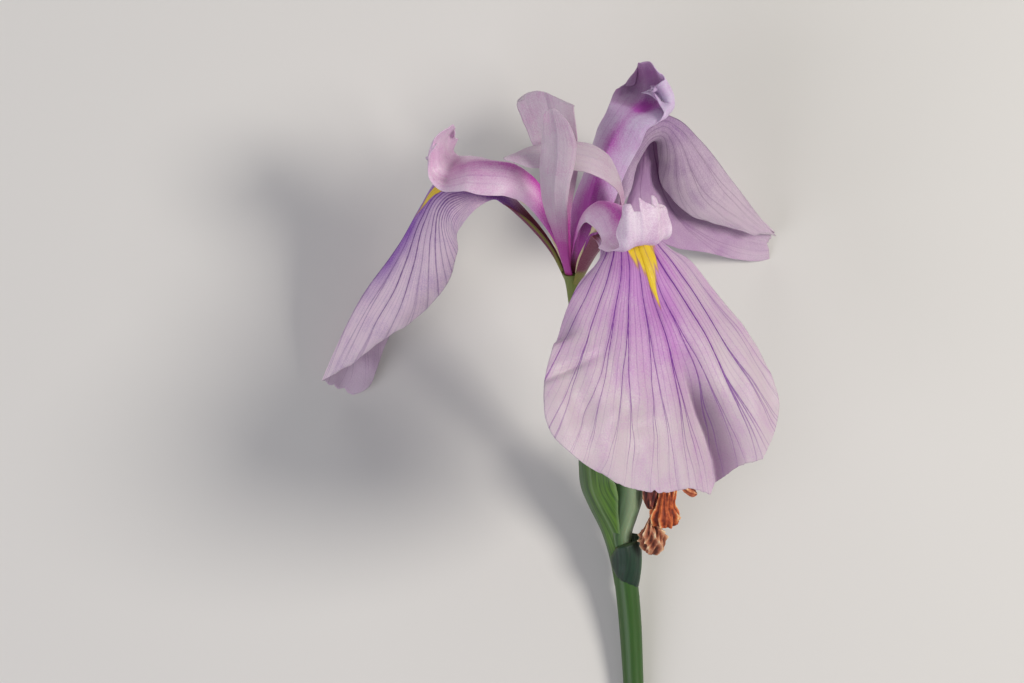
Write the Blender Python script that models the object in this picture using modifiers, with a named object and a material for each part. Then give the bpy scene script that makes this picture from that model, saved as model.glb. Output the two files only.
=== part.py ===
"""A cut iris flower that lies on a surface.

The flower is worked out in its own frame, in millimetres: the origin is the throat, where the
petals leave the tube, +Z runs up the flower's axis, and azimuth 0 is +X. The last section lays
it down, sets its lowest points on Z = 0 and centres it there.
"""
import math

import bpy
import numpy as np
from mathutils import Matrix

# Driving dimensions
MM = 0.001
PETAL_THICKNESS = 0.7
BRACT_THICKNESS = 0.8
AXIS_LEAN = 60.0
SIDE_LEAN = -2.2

# Azimuths of the three outer petals, and of the inner petals between them
FRONT, LEFT, BACK = -62.0, 165.0, 40.0
FRONT_ARM, LEFT_ARM, BACK_ARM = -66.0, 165.0, 50.0
BACK_STAMEN = 46.0
INNER_LEFT, INNER_BACK, INNER_RIGHT = -120.0, 120.0, 0.0

# Middle line of the stalk, from the throat to the cut end, as (x, y, z)
STALK = [
    (0.0, 0.0, 0.0),
    (0.8, 0.0, -8.0),
    (2.8, -0.1, -21.0),
    (5.5, -0.4, -36.7),
    (10.4, -3.0, -65.0),
    (14.6, -8.1, -90.0),
    (16.3, -16.6, -112.8),
    (17.0, -32.2, -141.0),
]
TUBE_END, OVARY_END = 12.0, 33.0
STALK_GAP = 0.3
STEM_RADIUS = 2.55

# Colours as linear red, green and blue
LILAC = (0.58, 0.36, 0.60)
MAGENTA = (0.45, 0.10, 0.34)
PALE_LILAC = (0.62, 0.48, 0.64)
GREEN = (0.05, 0.13, 0.03)
YELLOW_GREEN = (0.33, 0.34, 0.08)
CREAM = (0.75, 0.62, 0.42)
BROWN = (0.36, 0.15, 0.06)


# Curves through points
def through(knots, at):
    """Read a smooth curve through rows of (place, value, value, ...) at the places asked for."""
    knots = np.array(knots, float)
    places, values = knots[:, 0], knots[:, 1:]
    slopes = np.gradient(values, places, axis=0)
    at = np.clip(np.asarray(at, float), places[0], places[-1])
    i = np.clip(np.searchsorted(places, at, side="right") - 1, 0, len(places) - 2)
    gap = (places[i + 1] - places[i])[..., None]
    f = (at - places[i])[..., None] / gap
    start = (1 + 2 * f) * (1 - f) ** 2 * values[i] + f * (1 - f) ** 2 * gap * slopes[i]
    end = f * f * (3 - 2 * f) * values[i + 1] + f * f * (f - 1) * gap * slopes[i + 1]
    return start + end


def measured_line(points, count=400):
    """Return many points of a smooth line, and the length of the line up to each."""
    points = np.array(points, float)
    chords = np.r_[0, np.cumsum(np.linalg.norm(np.diff(points, axis=0), axis=1))]
    line = through(np.c_[chords, points], np.linspace(0, chords[-1], count))
    lengths = np.r_[0, np.cumsum(np.linalg.norm(np.diff(line, axis=0), axis=1))]
    return line, lengths


def read_line(values, lengths, reach):
    """Read a line's values at the lengths asked for, and run straight on past its ends."""
    step = (values[-1] - values[-2]) / (lengths[-1] - lengths[-2])
    inside = np.stack([np.interp(reach, lengths, values[:, k]) for k in range(3)], -1)
    return inside + np.maximum(reach - lengths[-1], 0)[..., None] * step


# Petals, style arms and bracts
def blade_points(plan, across, along):
    """Place points of a blade, with across from -1 to 1 and along from 0 at the base to 1.

    A blade has a midline in the plane of its azimuth, given as (out, sideways, up), a half
    width on either side of it, and a droop: the angles by which each half bends down at the
    midline and at the margin.
    """
    line, lengths = measured_line(plan["midline"])
    length = lengths[-1]
    rounding = plan["rounding"]
    tip = np.clip((along - rounding) / (1 - rounding), 0, 1)
    rounded = rounding + (1 - rounding) * tip * np.sqrt(1 - across ** 2 / 2)
    share = np.where(along > rounding, rounded, along)
    share = share * (1 - plan.get("slant", 0.0) * (1 + across) / 2)
    half = through(plan["half_width"], along)
    half = np.where(across < 0, half[..., 0], half[..., 1])
    flat = np.abs(across) * half * np.sqrt(1 - tip ** 2 / 2)
    reach = share * length

    calm = plan["calm"] / 2
    ahead = read_line(line, lengths, reach + calm)
    behind = read_line(line, lengths, np.maximum(reach - calm, 0))
    tangent = ahead - behind
    tangent /= np.linalg.norm(tangent, axis=-1, keepdims=True)
    side = np.zeros_like(tangent)
    side[..., 1] = 1
    side -= (side * tangent).sum(-1, keepdims=True) * tangent
    side /= np.linalg.norm(side, axis=-1, keepdims=True)
    normal = np.cross(tangent, side)
    roll = np.radians(through(plan.get("roll", [(0, 0), (1, 0)]), share))
    side, normal = (side * np.cos(roll) + normal * np.sin(roll),
                    normal * np.cos(roll) - side * np.sin(roll))

    bend = np.radians(through(plan["droop"], share))
    crease = np.where(across < 0, bend[..., 0], bend[..., 2])
    margin = np.where(across < 0, bend[..., 1], bend[..., 3])
    turn = (margin - crease) * np.abs(across)
    turn = np.where(np.abs(turn) < 0.0001, 0.0001, turn)
    wide = flat * (np.sin(crease + turn) - np.sin(crease)) / turn * np.sign(across)
    deep = flat * (np.cos(crease) - np.cos(crease + turn)) / turn
    local = read_line(line, lengths, reach) + side * wide[..., None] - normal * deep[..., None]

    azimuth = math.radians(plan["azimuth"])
    x = local[..., 0] * math.cos(azimuth) - local[..., 1] * math.sin(azimuth)
    y = local[..., 0] * math.sin(azimuth) + local[..., 1] * math.cos(azimuth)
    return np.stack([x, y, local[..., 2]], -1)


def finish(obj, name, material):
    """Name an object, shade it smooth and put it in the flower's collection."""
    obj.name = name
    obj.data.name = name
    obj.data.materials.append(material)
    for owner in list(obj.users_collection):
        owner.objects.unlink(obj)
    flower.objects.link(obj)
    obj.parent = lay
    return obj


def make_blade(name, plan, columns, rows, thickness, material):
    """Make a thin closed blade from a grid whose vertices the plan places."""
    bpy.ops.mesh.primitive_grid_add(x_subdivisions=columns, y_subdivisions=rows, size=2)
    obj = bpy.context.object
    grid = np.array([v.co[:] for v in obj.data.vertices])
    placed = blade_points(plan, grid[:, 0], (grid[:, 1] + 1) / 2) * MM
    obj.data.vertices.foreach_set("co", placed.ravel())
    obj.data.shade_smooth()
    obj.modifiers.new("Triangles", "TRIANGULATE")
    shell = obj.modifiers.new("Thickness", "SOLIDIFY")
    shell.thickness = thickness * MM
    shell.offset = 0
    return finish(obj, name, material)


def make_rod(name, points, material, sides=2):
    """Make a solid rod along points given as (x, y, z, radius), with flat ends."""
    curve = bpy.data.curves.new(name, "CURVE")
    curve.dimensions = "3D"
    curve.bevel_depth = 1.0 * MM
    curve.bevel_resolution = sides
    curve.use_fill_caps = True
    spline = curve.splines.new("POLY")
    spline.points.add(len(points) - 1)
    for point, (x, y, z, radius) in zip(spline.points, points):
        point.co = (x * MM, y * MM, z * MM, 1)
        point.radius = radius
    obj = bpy.data.objects.new(name, curve)
    bpy.context.scene.collection.objects.link(obj)
    return finish(obj, name, material)


def make_material(name, colour, roughness):
    material = bpy.data.materials.new(name)
    material.use_nodes = True
    shader = material.node_tree.nodes["Principled BSDF"]
    shader.inputs["Base Color"].default_value = (*colour, 1)
    shader.inputs["Roughness"].default_value = roughness
    shader.inputs["Metallic"].default_value = 0.0
    material.diffuse_color = (*colour, 1)
    return material


# Scene, collection and the empty that lays the flower down
for old in list(bpy.data.objects):
    bpy.data.objects.remove(old, do_unlink=True)
flower = bpy.data.collections.new("Iris flower")
bpy.context.scene.collection.children.link(flower)
lay = bpy.data.objects.new("lay", None)
flower.objects.link(lay)

lilac = make_material("Lilac petal", LILAC, 0.6)
magenta = make_material("Magenta style arm", MAGENTA, 0.55)
pale = make_material("Pale lilac petal", PALE_LILAC, 0.6)
green = make_material("Green stem", GREEN, 0.5)
yellow_green = make_material("Yellow green tube", YELLOW_GREEN, 0.5)
cream = make_material("Cream stamen", CREAM, 0.7)
brown = make_material("Withered petal", BROWN, 0.8)

# Outer petals, which rise as a narrow haft, arch over and hang as a broad blade
FALL_CALM = 16.0
front_fall = {
    "azimuth": FRONT, "calm": FALL_CALM, "rounding": 0.72,
    "midline": [(2.9, 0, 0.8), (8.3, 0, 7.4), (14, 0, 14.2), (20, 0, 21), (26, 0, 25),
                (30.5, 0, 25.3), (35, 0, 21.5), (41, 0, 12.6), (49.6, 0, 2), (58.8, 0, -12.5),
                (64.5, 0, -28.5)],
    "half_width": [(0, 1, 1), (0.1, 2.3, 2.3), (0.25, 4.5, 4.5), (0.33, 7.5, 7.5),
                   (0.45, 16, 14.5), (0.58, 27, 20), (0.68, 34, 23.5), (0.8, 36, 26),
                   (1, 33.5, 30)],
    "droop": [(0, 0, -25, 0, -25), (0.25, -10, -20, -10, -20), (0.36, 5, 60, 5, 60),
              (0.5, 5, 30, 5, 35), (0.7, 0, 10, 0, 15), (1, 0, 0, 0, 0)],
}
left_fall = {
    "azimuth": LEFT, "calm": FALL_CALM, "rounding": 0.92, "slant": 0.1,
    "midline": [(2.9, 0, 0.8), (9.5, 0, 8.3), (18.9, 0, 16.8), (24, 0, 19.8), (28.5, 0, 21.2),
                (32.3, 0, 21), (35.5, 0, 19), (40.3, 0, 12), (45, 0, 1.9),
                (55.9, 0, -16.4), (61.5, 0, -28.8), (66.6, 0, -41.5), (68.8, 0, -47.5)],
    "half_width": [(0, 1, 1), (0.1, 2.3, 2.3), (0.22, 4.5, 4.5), (0.29, 8, 7),
                   (0.34, 12, 9.5), (0.4, 16, 12), (0.5, 20, 15), (0.6, 22, 17.5),
                   (0.7, 22, 16.5), (0.8, 20, 13), (0.92, 17, 8), (1, 15, 7)],
    "droop": [(0, 0, -25, 0, -25), (0.22, -10, -20, -10, -20), (0.3, 20, 60, 40, 80),
              (0.4, 20, 60, 40, 105), (0.5, 20, 70, 35, 110), (0.65, 25, 65, 35, 110),
              (0.8, 25, 75, 30, 100), (1, 45, 80, 25, 85)],
}
back_fall = {
    "azimuth": BACK, "calm": 30.0, "rounding": 0.9,
    "midline": [(2.9, 0, 0.8), (7.3, 0, 8), (12.5, 0, 17.5), (18, 0, 27), (24, 0, 33.2),
                (29, 0, 34.4), (33.5, 0, 32), (42.1, 0, 23), (54.7, 0, 6), (64, 0, -6),
                (70, 0, -14)],
    "half_width": [(0, 1, 1), (0.1, 2.3, 2.3), (0.22, 4.5, 4.5), (0.31, 7, 8.5),
                   (0.38, 11, 14.5), (0.46, 15, 24.5), (0.54, 17, 30), (0.65, 18, 30),
                   (0.78, 16, 25), (0.9, 11, 18), (1, 7, 13)],
    "droop": [(0, 0, -25, 0, -25), (0.22, -10, -20, -10, -20), (0.3, 25, 70, 25, 55),
              (0.4, 30, 90, 45, 75), (0.55, 40, 130, 60, 105), (0.7, 40, 130, 60, 115),
              (0.85, 40, 120, 60, 110), (1, 30, 80, 60, 90)],
}
for name, plan in (("fall_front", front_fall), ("fall_left", left_fall), ("fall_back", back_fall)):
    make_blade(name, plan, 14, 24, PETAL_THICKNESS, lilac)

# Style arms, which arch over the hafts and end in an upturned crest
ARM_CALM = 4.0
ARM_ROUNDING = 0.88
ARM_DROOP = [(0, 0, 10, 0, 10), (0.12, 15, 50, 15, 50), (0.25, 20, 80, 20, 80), (0.5, 15, 70, 15, 70),
             (0.68, 5, 30, 5, 30), (0.78, 0, 15, 0, 15), (1, -10, -40, -10, -40)]
front_arm = {
    "azimuth": FRONT_ARM, "calm": ARM_CALM, "rounding": ARM_ROUNDING, "droop": ARM_DROOP,
    "midline": [(0.95, 0, 0.8), (2.6, 0, 9), (5.5, 0, 17), (10, 0, 23.3), (15.5, 0, 27.5),
                (21.5, 0, 29.6), (27, 0, 29.6), (31.5, 0, 27.6), (35, 0, 25.4),
                (37.4, 0, 26.2), (38.4, 0, 30), (37.6, 0, 35), (35.5, 0, 38.5)],
    "half_width": [(0, 0.65, 0.65), (0.12, 2, 2), (0.3, 5, 5), (0.5, 7, 7), (0.66, 8.5, 8.5),
                   (0.8, 9, 9), (1, 8, 8)],
}
left_arm = {
    "azimuth": LEFT_ARM, "calm": ARM_CALM, "rounding": ARM_ROUNDING, "droop": ARM_DROOP,
    "midline": [(0.95, 0, 0.8), (3, 0, 8), (6.5, 0, 16.2), (10.5, 0, 22.3), (15.5, 0, 26.3),
                (21, 0, 27.8), (26, 0, 27.2), (29.5, 0, 25.5), (32.3, 0, 24), (34.4, 0, 25.2),
                (35, 0, 29), (33.8, 0, 34), (30.8, 0, 37.6)],
    "half_width": [(0, 0.65, 0.65), (0.12, 1.4, 1.9), (0.3, 3.8, 5), (0.5, 7.5, 7.5),
                   (0.66, 8.5, 8.5), (0.8, 9, 9), (1, 7.5, 7.5)],
}
back_arm = {
    "azimuth": BACK_ARM, "calm": ARM_CALM, "rounding": ARM_ROUNDING,
    "midline": [(0.95, 0, 0.8), (2.4, 0, 5), (5, 0, 13), (8.5, 0, 21), (12.6, 0, 28),
                (17.3, 0, 33), (22.5, 0, 36), (27, 0, 36.8), (30, 0, 36.6), (32, 0, 38.7),
                (32, 0, 43), (29.5, 0, 47.5)],
    "half_width": [(0, 0.65, 0.65), (0.12, 1.8, 3.4), (0.3, 4, 8.5), (0.5, 6, 10), (0.66, 7.5, 9),
                   (0.8, 8, 8), (1, 6, 6)],
    "droop": [(0, 0, 10, 0, 10), (0.12, 10, 35, 10, 40), (0.25, 10, 40, 20, 60),
              (0.5, 10, 45, 15, 60), (0.68, 5, 30, 5, 30), (0.78, 0, 15, 0, 15),
              (1, -10, -40, -10, -40)],
}
for name, plan in (("style_arm_front", front_arm), ("style_arm_left", left_arm),
                   ("style_arm_back", back_arm)):
    make_blade(name, plan, 8, 24, PETAL_THICKNESS, magenta)

# Inner petals: two stand up, and the right one bends over to the left
STANDARD_CALM = 6.0
left_standard = {
    "azimuth": INNER_LEFT, "calm": STANDARD_CALM, "rounding": 0.93,
    "midline": [(2.15, 0, 0.8), (4.3, 0, 5), (7, 0, 12), (9.5, -1, 21), (10.5, -1.5, 29),
                (10, -1.4, 37), (10, -2.2, 43), (11, -3, 49)],
    "half_width": [(0, 0.6, 0.6), (0.12, 1.4, 1.4), (0.3, 3, 3), (0.42, 4, 4),
                   (0.55, 4.4, 4.4), (0.75, 4.5, 4.5), (0.9, 3.6, 3.6), (1, 2.4, 2.4)],
    "droop": [(0, 0, -30, 0, -30), (0.5, 0, -20, 0, -20), (1, 0, 0, 0, 0)],
}
back_standard = {
    "azimuth": INNER_BACK, "calm": STANDARD_CALM, "rounding": 0.93,
    "midline": [(2.15, 0, 0.8), (3.5, 0, 5), (5, 0, 14), (6.2, 0, 24), (8, 0.6, 34),
                (11, 1.2, 42), (13, 1.4, 46)],
    "half_width": [(0, 0.6, 0.6), (0.12, 1.2, 1.2), (0.35, 2.2, 2.2), (0.55, 3.8, 3.8),
                   (0.72, 5.4, 5.4), (0.88, 6.6, 6.6), (1, 6.8, 6.8)],
    "droop": [(0, 0, -30, 0, -30), (0.5, 0, -20, 0, -20), (1, 0, 0, 0, 0)],
}
right_standard = {
    "azimuth": INNER_RIGHT, "calm": STANDARD_CALM, "rounding": 0.9,
    "midline": [(2.15, 0, 0.8), (5.3, 0, 6), (9.8, 0, 12.7), (12.2, 0, 19.6), (10.9, 0, 26),
                (7.6, -0.5, 30.4), (4.3, -1, 32.6), (-0.5, -1.4, 33.9),
                (-5.5, -1.4, 33.9), (-13, -1.2, 33.2), (-17.3, -1, 32.4)],
    "half_width": [(0, 0.6, 0.6), (0.12, 1.2, 1.2), (0.3, 1.8, 1.8), (0.45, 2.8, 2.8),
                   (0.6, 4, 4), (0.75, 4, 4), (0.9, 3.2, 3.2), (1, 1.4, 1.4)],
    "roll": [(0, 0), (0.4, 0), (0.6, -28), (1, -28)],
    "droop": [(0, 0, -20, 0, -20), (1, 0, -20, 0, -20)],
}
for name, plan in (("standard_left", left_standard), ("standard_back", back_standard),
                   ("standard_right", right_standard)):
    make_blade(name, plan, 6, 20, PETAL_THICKNESS, pale)

# Stamens, one under each style arm: a thin filament that ends in a long anther
FILAMENT_RADIUS = 0.45
STAMEN_RADII = [0.6, 1, 1, 1, 1, 2.0, 2.2, 2.0, 0.9]
low_stamen = [(1.85, 0.8), (3.6, 5.2), (6.2, 10.3), (9.4, 15.3), (12.6, 18.6), (13.6, 19.5),
              (16.5, 21.6), (19.8, 23.2), (20.8, 23.5)]
steep_stamen = [(1.85, 0.8), (3.9, 5.2), (6.8, 11.2), (9.8, 17.8), (12.6, 23.6), (13.5, 24.8),
                (16, 28), (18.6, 30.8), (19.4, 31.5)]
for name, azimuth, line in (("stamen_front", FRONT_ARM, low_stamen),
                            ("stamen_left", LEFT_ARM, low_stamen),
                            ("stamen_back", BACK_STAMEN, steep_stamen)):
    a = math.radians(azimuth)
    points = [(out * math.cos(a), out * math.sin(a), up, FILAMENT_RADIUS * radius)
              for (out, up), radius in zip(line, STAMEN_RADII)]
    make_rod(name, points, cream)


# Tube, ovary and stem along one line
stalk_line, stalk_lengths = measured_line(STALK)


def stalk_rod(name, start, end, radii, count, material, sides=3):
    """Make the stretch of the stalk from start to end, with radii given as (share, radius)."""
    shares = np.linspace(0, 1, count)
    places = read_line(stalk_line, stalk_lengths, start + shares * (end - start))
    widths = through(radii, shares)
    make_rod(name, np.c_[places, widths].tolist(), material, sides)


stalk_rod("perianth_tube", 0.0, TUBE_END,
          [(0, 3.5), (0.2, 2.9), (0.45, 2.3), (1, 2.1)], 7, yellow_green)
stalk_rod("ovary", TUBE_END + STALK_GAP, OVARY_END,
          [(0, 2.1), (0.3, 2.7), (0.6, 2.9), (0.85, 2.5), (1, 2.1)], 9, green)
stalk_rod("stem", OVARY_END + STALK_GAP, stalk_lengths[-1],
          [(0, 2.1), (0.2, 2.2), (0.45, STEM_RADIUS), (1, STEM_RADIUS)], 16, green)

# Bracts that wrap the top of the stem, and the sheath outside them
BRACT_CALM = 10.0


def beside_stalk(azimuth, places):
    """Turn (distance from the stalk's middle line, height) into a midline on that azimuth."""
    a = math.radians(azimuth)
    midline = []
    for away, height in places:
        x = np.interp(-height, -stalk_line[:, 2], stalk_line[:, 0])
        y = np.interp(-height, -stalk_line[:, 2], stalk_line[:, 1])
        midline.append((x * math.cos(a) + y * math.sin(a) + away,
                        y * math.cos(a) - x * math.sin(a), height))
    return midline


left_bract = {
    "azimuth": 180.0, "calm": BRACT_CALM, "rounding": 0.75,
    "midline": beside_stalk(180.0, [(3.45, -87.5), (3.7, -81.5), (4.9, -73.8), (6.3, -67.2),
                                    (7.4, -61.7), (7.3, -54.8), (6.4, -48)]),
    "half_width": [(0, 5.4, 5.4), (0.2, 6.5, 6.5), (0.45, 9.5, 9.5), (0.65, 11.5, 12.5),
                   (0.8, 10.5, 11), (1, 8, 8)],
    "droop": [(0, 0, -90, 0, -90), (0.3, -20, -95, -20, -95), (0.6, -35, -90, -35, -90),
              (1, -30, -60, -30, -60)],
}
right_bract = {
    "azimuth": 0.0, "calm": BRACT_CALM, "rounding": 0.75,
    "midline": beside_stalk(0.0, [(3.5, -85), (3.9, -81.1), (5.5, -74.1), (7.8, -65.6),
                                  (8.8, -61.7), (9.4, -55.5), (9.2, -50)]),
    "half_width": [(0, 3.2, 3.2), (0.3, 3.6, 3.6), (0.6, 5.2, 5.2), (0.8, 5, 5), (1, 4, 4)],
    "droop": [(0, 0, -55, 0, -55), (0.4, -15, -70, -15, -70), (1, -20, -60, -20, -60)],
}
sheath = {
    "azimuth": 0.0, "calm": 5.0, "rounding": 0.8,
    "midline": beside_stalk(0.0, [(3.5, -92), (4.6, -88.5), (5.9, -84.5), (6.6, -80.5),
                                  (6.8, -76.5)]),
    "half_width": [(0, 4.9, 4.9), (0.25, 7.2, 7.2), (0.6, 9.6, 9.6), (1, 7.5, 7.5)],
    "droop": [(0, 0, -80, 0, -80), (0.25, 0, -90, 0, -90), (0.5, 0, -105, 0, -105),
              (1, 0, -80, 0, -80)],
}
make_blade("bract_left", left_bract, 10, 14, BRACT_THICKNESS, green)
make_blade("bract_right", right_bract, 8, 12, BRACT_THICKNESS, green)
make_blade("stem_sheath", sheath, 12, 8, BRACT_THICKNESS, green)

# Withered bloom, an older flower that hangs out of the bracts on its thin stalk
WITHERED = [
    (15.0, -5.0, -69.0, 0.8), (14.9, -4.0, -62.0, 0.8), (14.0, -3.0, -53.0, 0.9),
    (14.6, -2.6, -46.5, 1.0), (17.6, -3.2, -43.6, 1.1), (21.6, -4.6, -45.6, 1.4),
    (23.4, -5.8, -50.5, 2.0), (24.0, -6.6, -56.0, 2.8), (24.4, -7.2, -61.5, 3.2),
    (24.2, -7.4, -65.5, 2.4), (22.9, -7.6, -68.3, 1.2), (22.4, -8.0, -70.5, 1.5),
    (22.2, -8.4, -73.0, 2.9), (22.2, -8.8, -75.6, 2.6), (22.3, -9.0, -77.4, 1.0),
]
make_rod("withered_bloom", WITHERED, brown, 3)

# Laying down: the axis leans to 30 degrees above the surface, and the flower rests on it
lay.matrix_world = Matrix.Rotation(math.radians(SIDE_LEAN), 4, "Y") @ Matrix.Rotation(
    math.radians(-AXIS_LEAN), 4, "X")
bpy.context.view_layer.update()
graph = bpy.context.evaluated_depsgraph_get()
corners = []
for obj in flower.objects:
    if obj.type == "EMPTY":
        continue
    shape = obj.evaluated_get(graph)
    mesh = shape.to_mesh()
    spots = np.empty(len(mesh.vertices) * 3)
    mesh.vertices.foreach_get("co", spots)
    spots = spots.reshape(-1, 3) @ np.array(shape.matrix_world.to_3x3()).T
    corners += [spots.min(axis=0), spots.max(axis=0)]
    shape.to_mesh_clear()
low, high = np.min(corners, axis=0), np.max(corners, axis=0)
lay.location = (-(low[0] + high[0]) / 2, -(low[1] + high[1]) / 2, -low[2])
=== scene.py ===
"""A cut Japanese iris, lying on a pale surface and seen from above.

Shapes are worked out in the flower's own frame, in millimetres: the origin is the throat, where
the petals leave the tube, and +Z runs up the flower's axis. The function on_surface lays them
down where the frame's solids lie.
"""

import math

import bpy
import numpy as np
from mathutils import Matrix, Vector


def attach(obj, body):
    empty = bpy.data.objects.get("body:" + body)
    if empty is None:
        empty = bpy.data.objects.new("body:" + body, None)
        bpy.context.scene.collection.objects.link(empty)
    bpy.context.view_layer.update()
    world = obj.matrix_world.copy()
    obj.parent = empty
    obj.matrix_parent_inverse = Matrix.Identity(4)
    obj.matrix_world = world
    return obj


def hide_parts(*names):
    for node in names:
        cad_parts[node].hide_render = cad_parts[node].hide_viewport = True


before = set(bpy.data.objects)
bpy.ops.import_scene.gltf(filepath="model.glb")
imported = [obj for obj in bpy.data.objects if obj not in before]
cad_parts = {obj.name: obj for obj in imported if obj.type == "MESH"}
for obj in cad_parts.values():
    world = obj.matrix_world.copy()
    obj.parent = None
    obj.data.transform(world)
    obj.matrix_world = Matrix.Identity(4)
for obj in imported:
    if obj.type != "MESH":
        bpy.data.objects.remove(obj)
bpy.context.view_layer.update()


# View, light and surface
# The flower is looked down on from just over a metre, along the line of sight that shows its
# front fall best. It lies on a painted board under one large soft lamp and two weak ones.
MM = 0.001
AXIS_LEAN, SIDE_LEAN = 60.0, -2.2  # how far the picked flower leans over, in degrees
THROAT = Vector((0.003803, 0.042723, 0.044455))
lean_sideways = Matrix.Rotation(math.radians(SIDE_LEAN), 4, "Y")
laid = (Matrix.Translation(THROAT) @ lean_sideways
        @ Matrix.Rotation(math.radians(-AXIS_LEAN), 4, "X"))


def linear(hexed):
    """Turn an sRGB hex colour into linear red, green, blue and alpha."""
    parts = [int(hexed[k:k + 2], 16) / 255 for k in (1, 3, 5)]
    return tuple(p / 12.92 if p <= 0.04045 else ((p + 0.055) / 1.055) ** 2.4 for p in parts) + (1,)


def add(tree, kind, inputs=(), out=0, **settings):
    """Add a shader node with its settings and links, and give back one of its outputs."""
    made = tree.nodes.new("ShaderNode" + kind)
    for name, value in settings.items():
        setattr(made, name, value)
    for place, value in inputs.items() if isinstance(inputs, dict) else enumerate(inputs):
        if isinstance(value, bpy.types.NodeSocket):
            tree.links.new(value, made.inputs[place])
        else:
            made.inputs[place].default_value = value
    return made.outputs[out]


def new_material(name, surface):
    """Start a material with these values on its Principled shader, and give back it, its node
    tree and the shader."""
    material = bpy.data.materials.new(name)
    material.use_nodes = True
    shader = material.node_tree.nodes["Principled BSDF"]
    for socket, value in surface.items():
        shader.inputs[socket].default_value = value
    return material, material.node_tree, shader


CAMERA_FROM_THROAT = Vector((-0.01525, -0.017375, 1.067))
camera_data = bpy.data.cameras.new("camera")
camera_data.lens = 150
camera_data.sensor_width = 36
camera_data.clip_end = 10
camera = bpy.data.objects.new("camera", camera_data)
bpy.context.scene.collection.objects.link(camera)
camera.matrix_world = (Matrix.Translation(THROAT) @ lean_sideways
                       @ Matrix.Translation(CAMERA_FROM_THROAT))
bpy.context.scene.camera = camera

# The board lies a hair below nought, so that the petals' tips touch it and don't cut it.
BOARD_WIDTH, BOARD_HEIGHT = 4, -0.0004
bpy.ops.object.select_all(action="DESELECT")
bpy.ops.mesh.primitive_plane_add(size=BOARD_WIDTH, location=(0, 0, BOARD_HEIGHT))
board = bpy.context.object
board.name = "surface"
# Matt painted board: rough all over, so it only takes soft shadows.
paint, tree, shader = new_material("Matt painted board",
                                   {"Base Color": linear("#D8D6D1"), "Roughness": 0.85})
board.data.materials.append(paint)

# Each lamp: its name, its place and its width in metres, its watts and its colour.
LAMPS = [
    ("key", (0.7, 0.12, 0.78), 0.34, 7.6, "#FFFAF4"),
    ("fill", (-0.75, -0.5, 0.75), 1.0, 5.8, "#F6F3FF"),
    ("rim", (-0.3, 0.95, 0.3), 0.5, 1.5, "#FFFFFF"),
]
LIT_SPOT = Vector((0, 0.03, 0.04))
for name, place, width, power, colour in LAMPS:
    lamp_data = bpy.data.lights.new(name, "AREA")
    lamp_data.shape = "DISK"
    lamp_data.size = width
    lamp_data.energy = power
    lamp_data.color = linear(colour)[:3]
    lamp = bpy.data.objects.new(name, lamp_data)
    bpy.context.scene.collection.objects.link(lamp)
    aim = (LIT_SPOT - Vector(place)).to_track_quat("-Z", "Y")
    lamp.matrix_world = Matrix.Translation(place) @ aim.to_matrix().to_4x4()
world = bpy.data.worlds.new("studio")
bpy.context.scene.world = world
world.use_nodes = True
world.node_tree.nodes["Background"].inputs["Color"].default_value = linear("#E8ECF2")
world.node_tree.nodes["Background"].inputs["Strength"].default_value = 0.28
bpy.context.scene.view_settings.view_transform = "Standard"


# Stalk: perianth tube, ovary and stem
# One round green stalk grown in one piece: a slim pale tube that flares where the petals leave
# it, the slightly swollen ovary under it, and the smooth stem, cut square at its end.

# Its middle line runs down from the throat, and its stretches end so many mm along it.
STALK = [
    (0.0, 0.0, 0.0), (0.8, 0.0, -8.0), (2.8, -0.1, -21.0), (5.5, -0.4, -36.7),
    (10.4, -3.0, -65.0), (14.6, -8.1, -90.0), (16.3, -16.6, -112.8), (17.0, -32.2, -141.0),
]
TUBE_END, OVARY_END, STEM_END = 12.0, 33.0, 147.6
OVERLAP = 0.5


def through(knots, at):
    """Read a smooth curve through rows of (place, value, value, ...) at the places asked for."""
    knots = np.array(knots, float)
    places, values = knots[:, 0], knots[:, 1:]
    slopes = np.gradient(values, places, axis=0)
    at = np.clip(np.asarray(at, float), places[0], places[-1])
    i = np.clip(np.searchsorted(places, at, side="right") - 1, 0, len(places) - 2)
    gap = (places[i + 1] - places[i])[..., None]
    f = (at - places[i])[..., None] / gap
    start = (1 + 2 * f) * (1 - f) ** 2 * values[i] + f * (1 - f) ** 2 * gap * slopes[i]
    end = f * f * (3 - 2 * f) * values[i + 1] + f * f * (f - 1) * gap * slopes[i + 1]
    return start + end


def step(low, high, at):
    """Rise smoothly from 0 at low to 1 at high."""
    f = np.clip((at - low) / (high - low), 0, 1)
    return f * f * (3 - 2 * f)


def measured_line(points, count=400):
    """Return many points of a smooth line, and the length of the line up to each."""
    points = np.array(points, float)
    chords = np.r_[0, np.cumsum(np.linalg.norm(np.diff(points, axis=0), axis=1))]
    line = through(np.c_[chords, points], np.linspace(0, chords[-1], count))
    lengths = np.r_[0, np.cumsum(np.linalg.norm(np.diff(line, axis=0), axis=1))]
    return line, lengths


def read_line(values, lengths, reach):
    """Read a line's values at the lengths asked for, and run straight on past its ends."""
    first = (values[1] - values[0]) / (lengths[1] - lengths[0])
    last = (values[-1] - values[-2]) / (lengths[-1] - lengths[-2])
    inside = np.stack([np.interp(reach, lengths, values[:, k]) for k in range(3)], -1)
    before, past = np.minimum(reach, 0), np.maximum(reach - lengths[-1], 0)
    return inside + before[..., None] * first + past[..., None] * last


def on_surface(points):
    """Lay points of the flower's frame, in millimetres, down on the surface, in metres."""
    turn = np.array(laid.to_3x3())
    return points * MM @ turn.T + np.array(THROAT)


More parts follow.
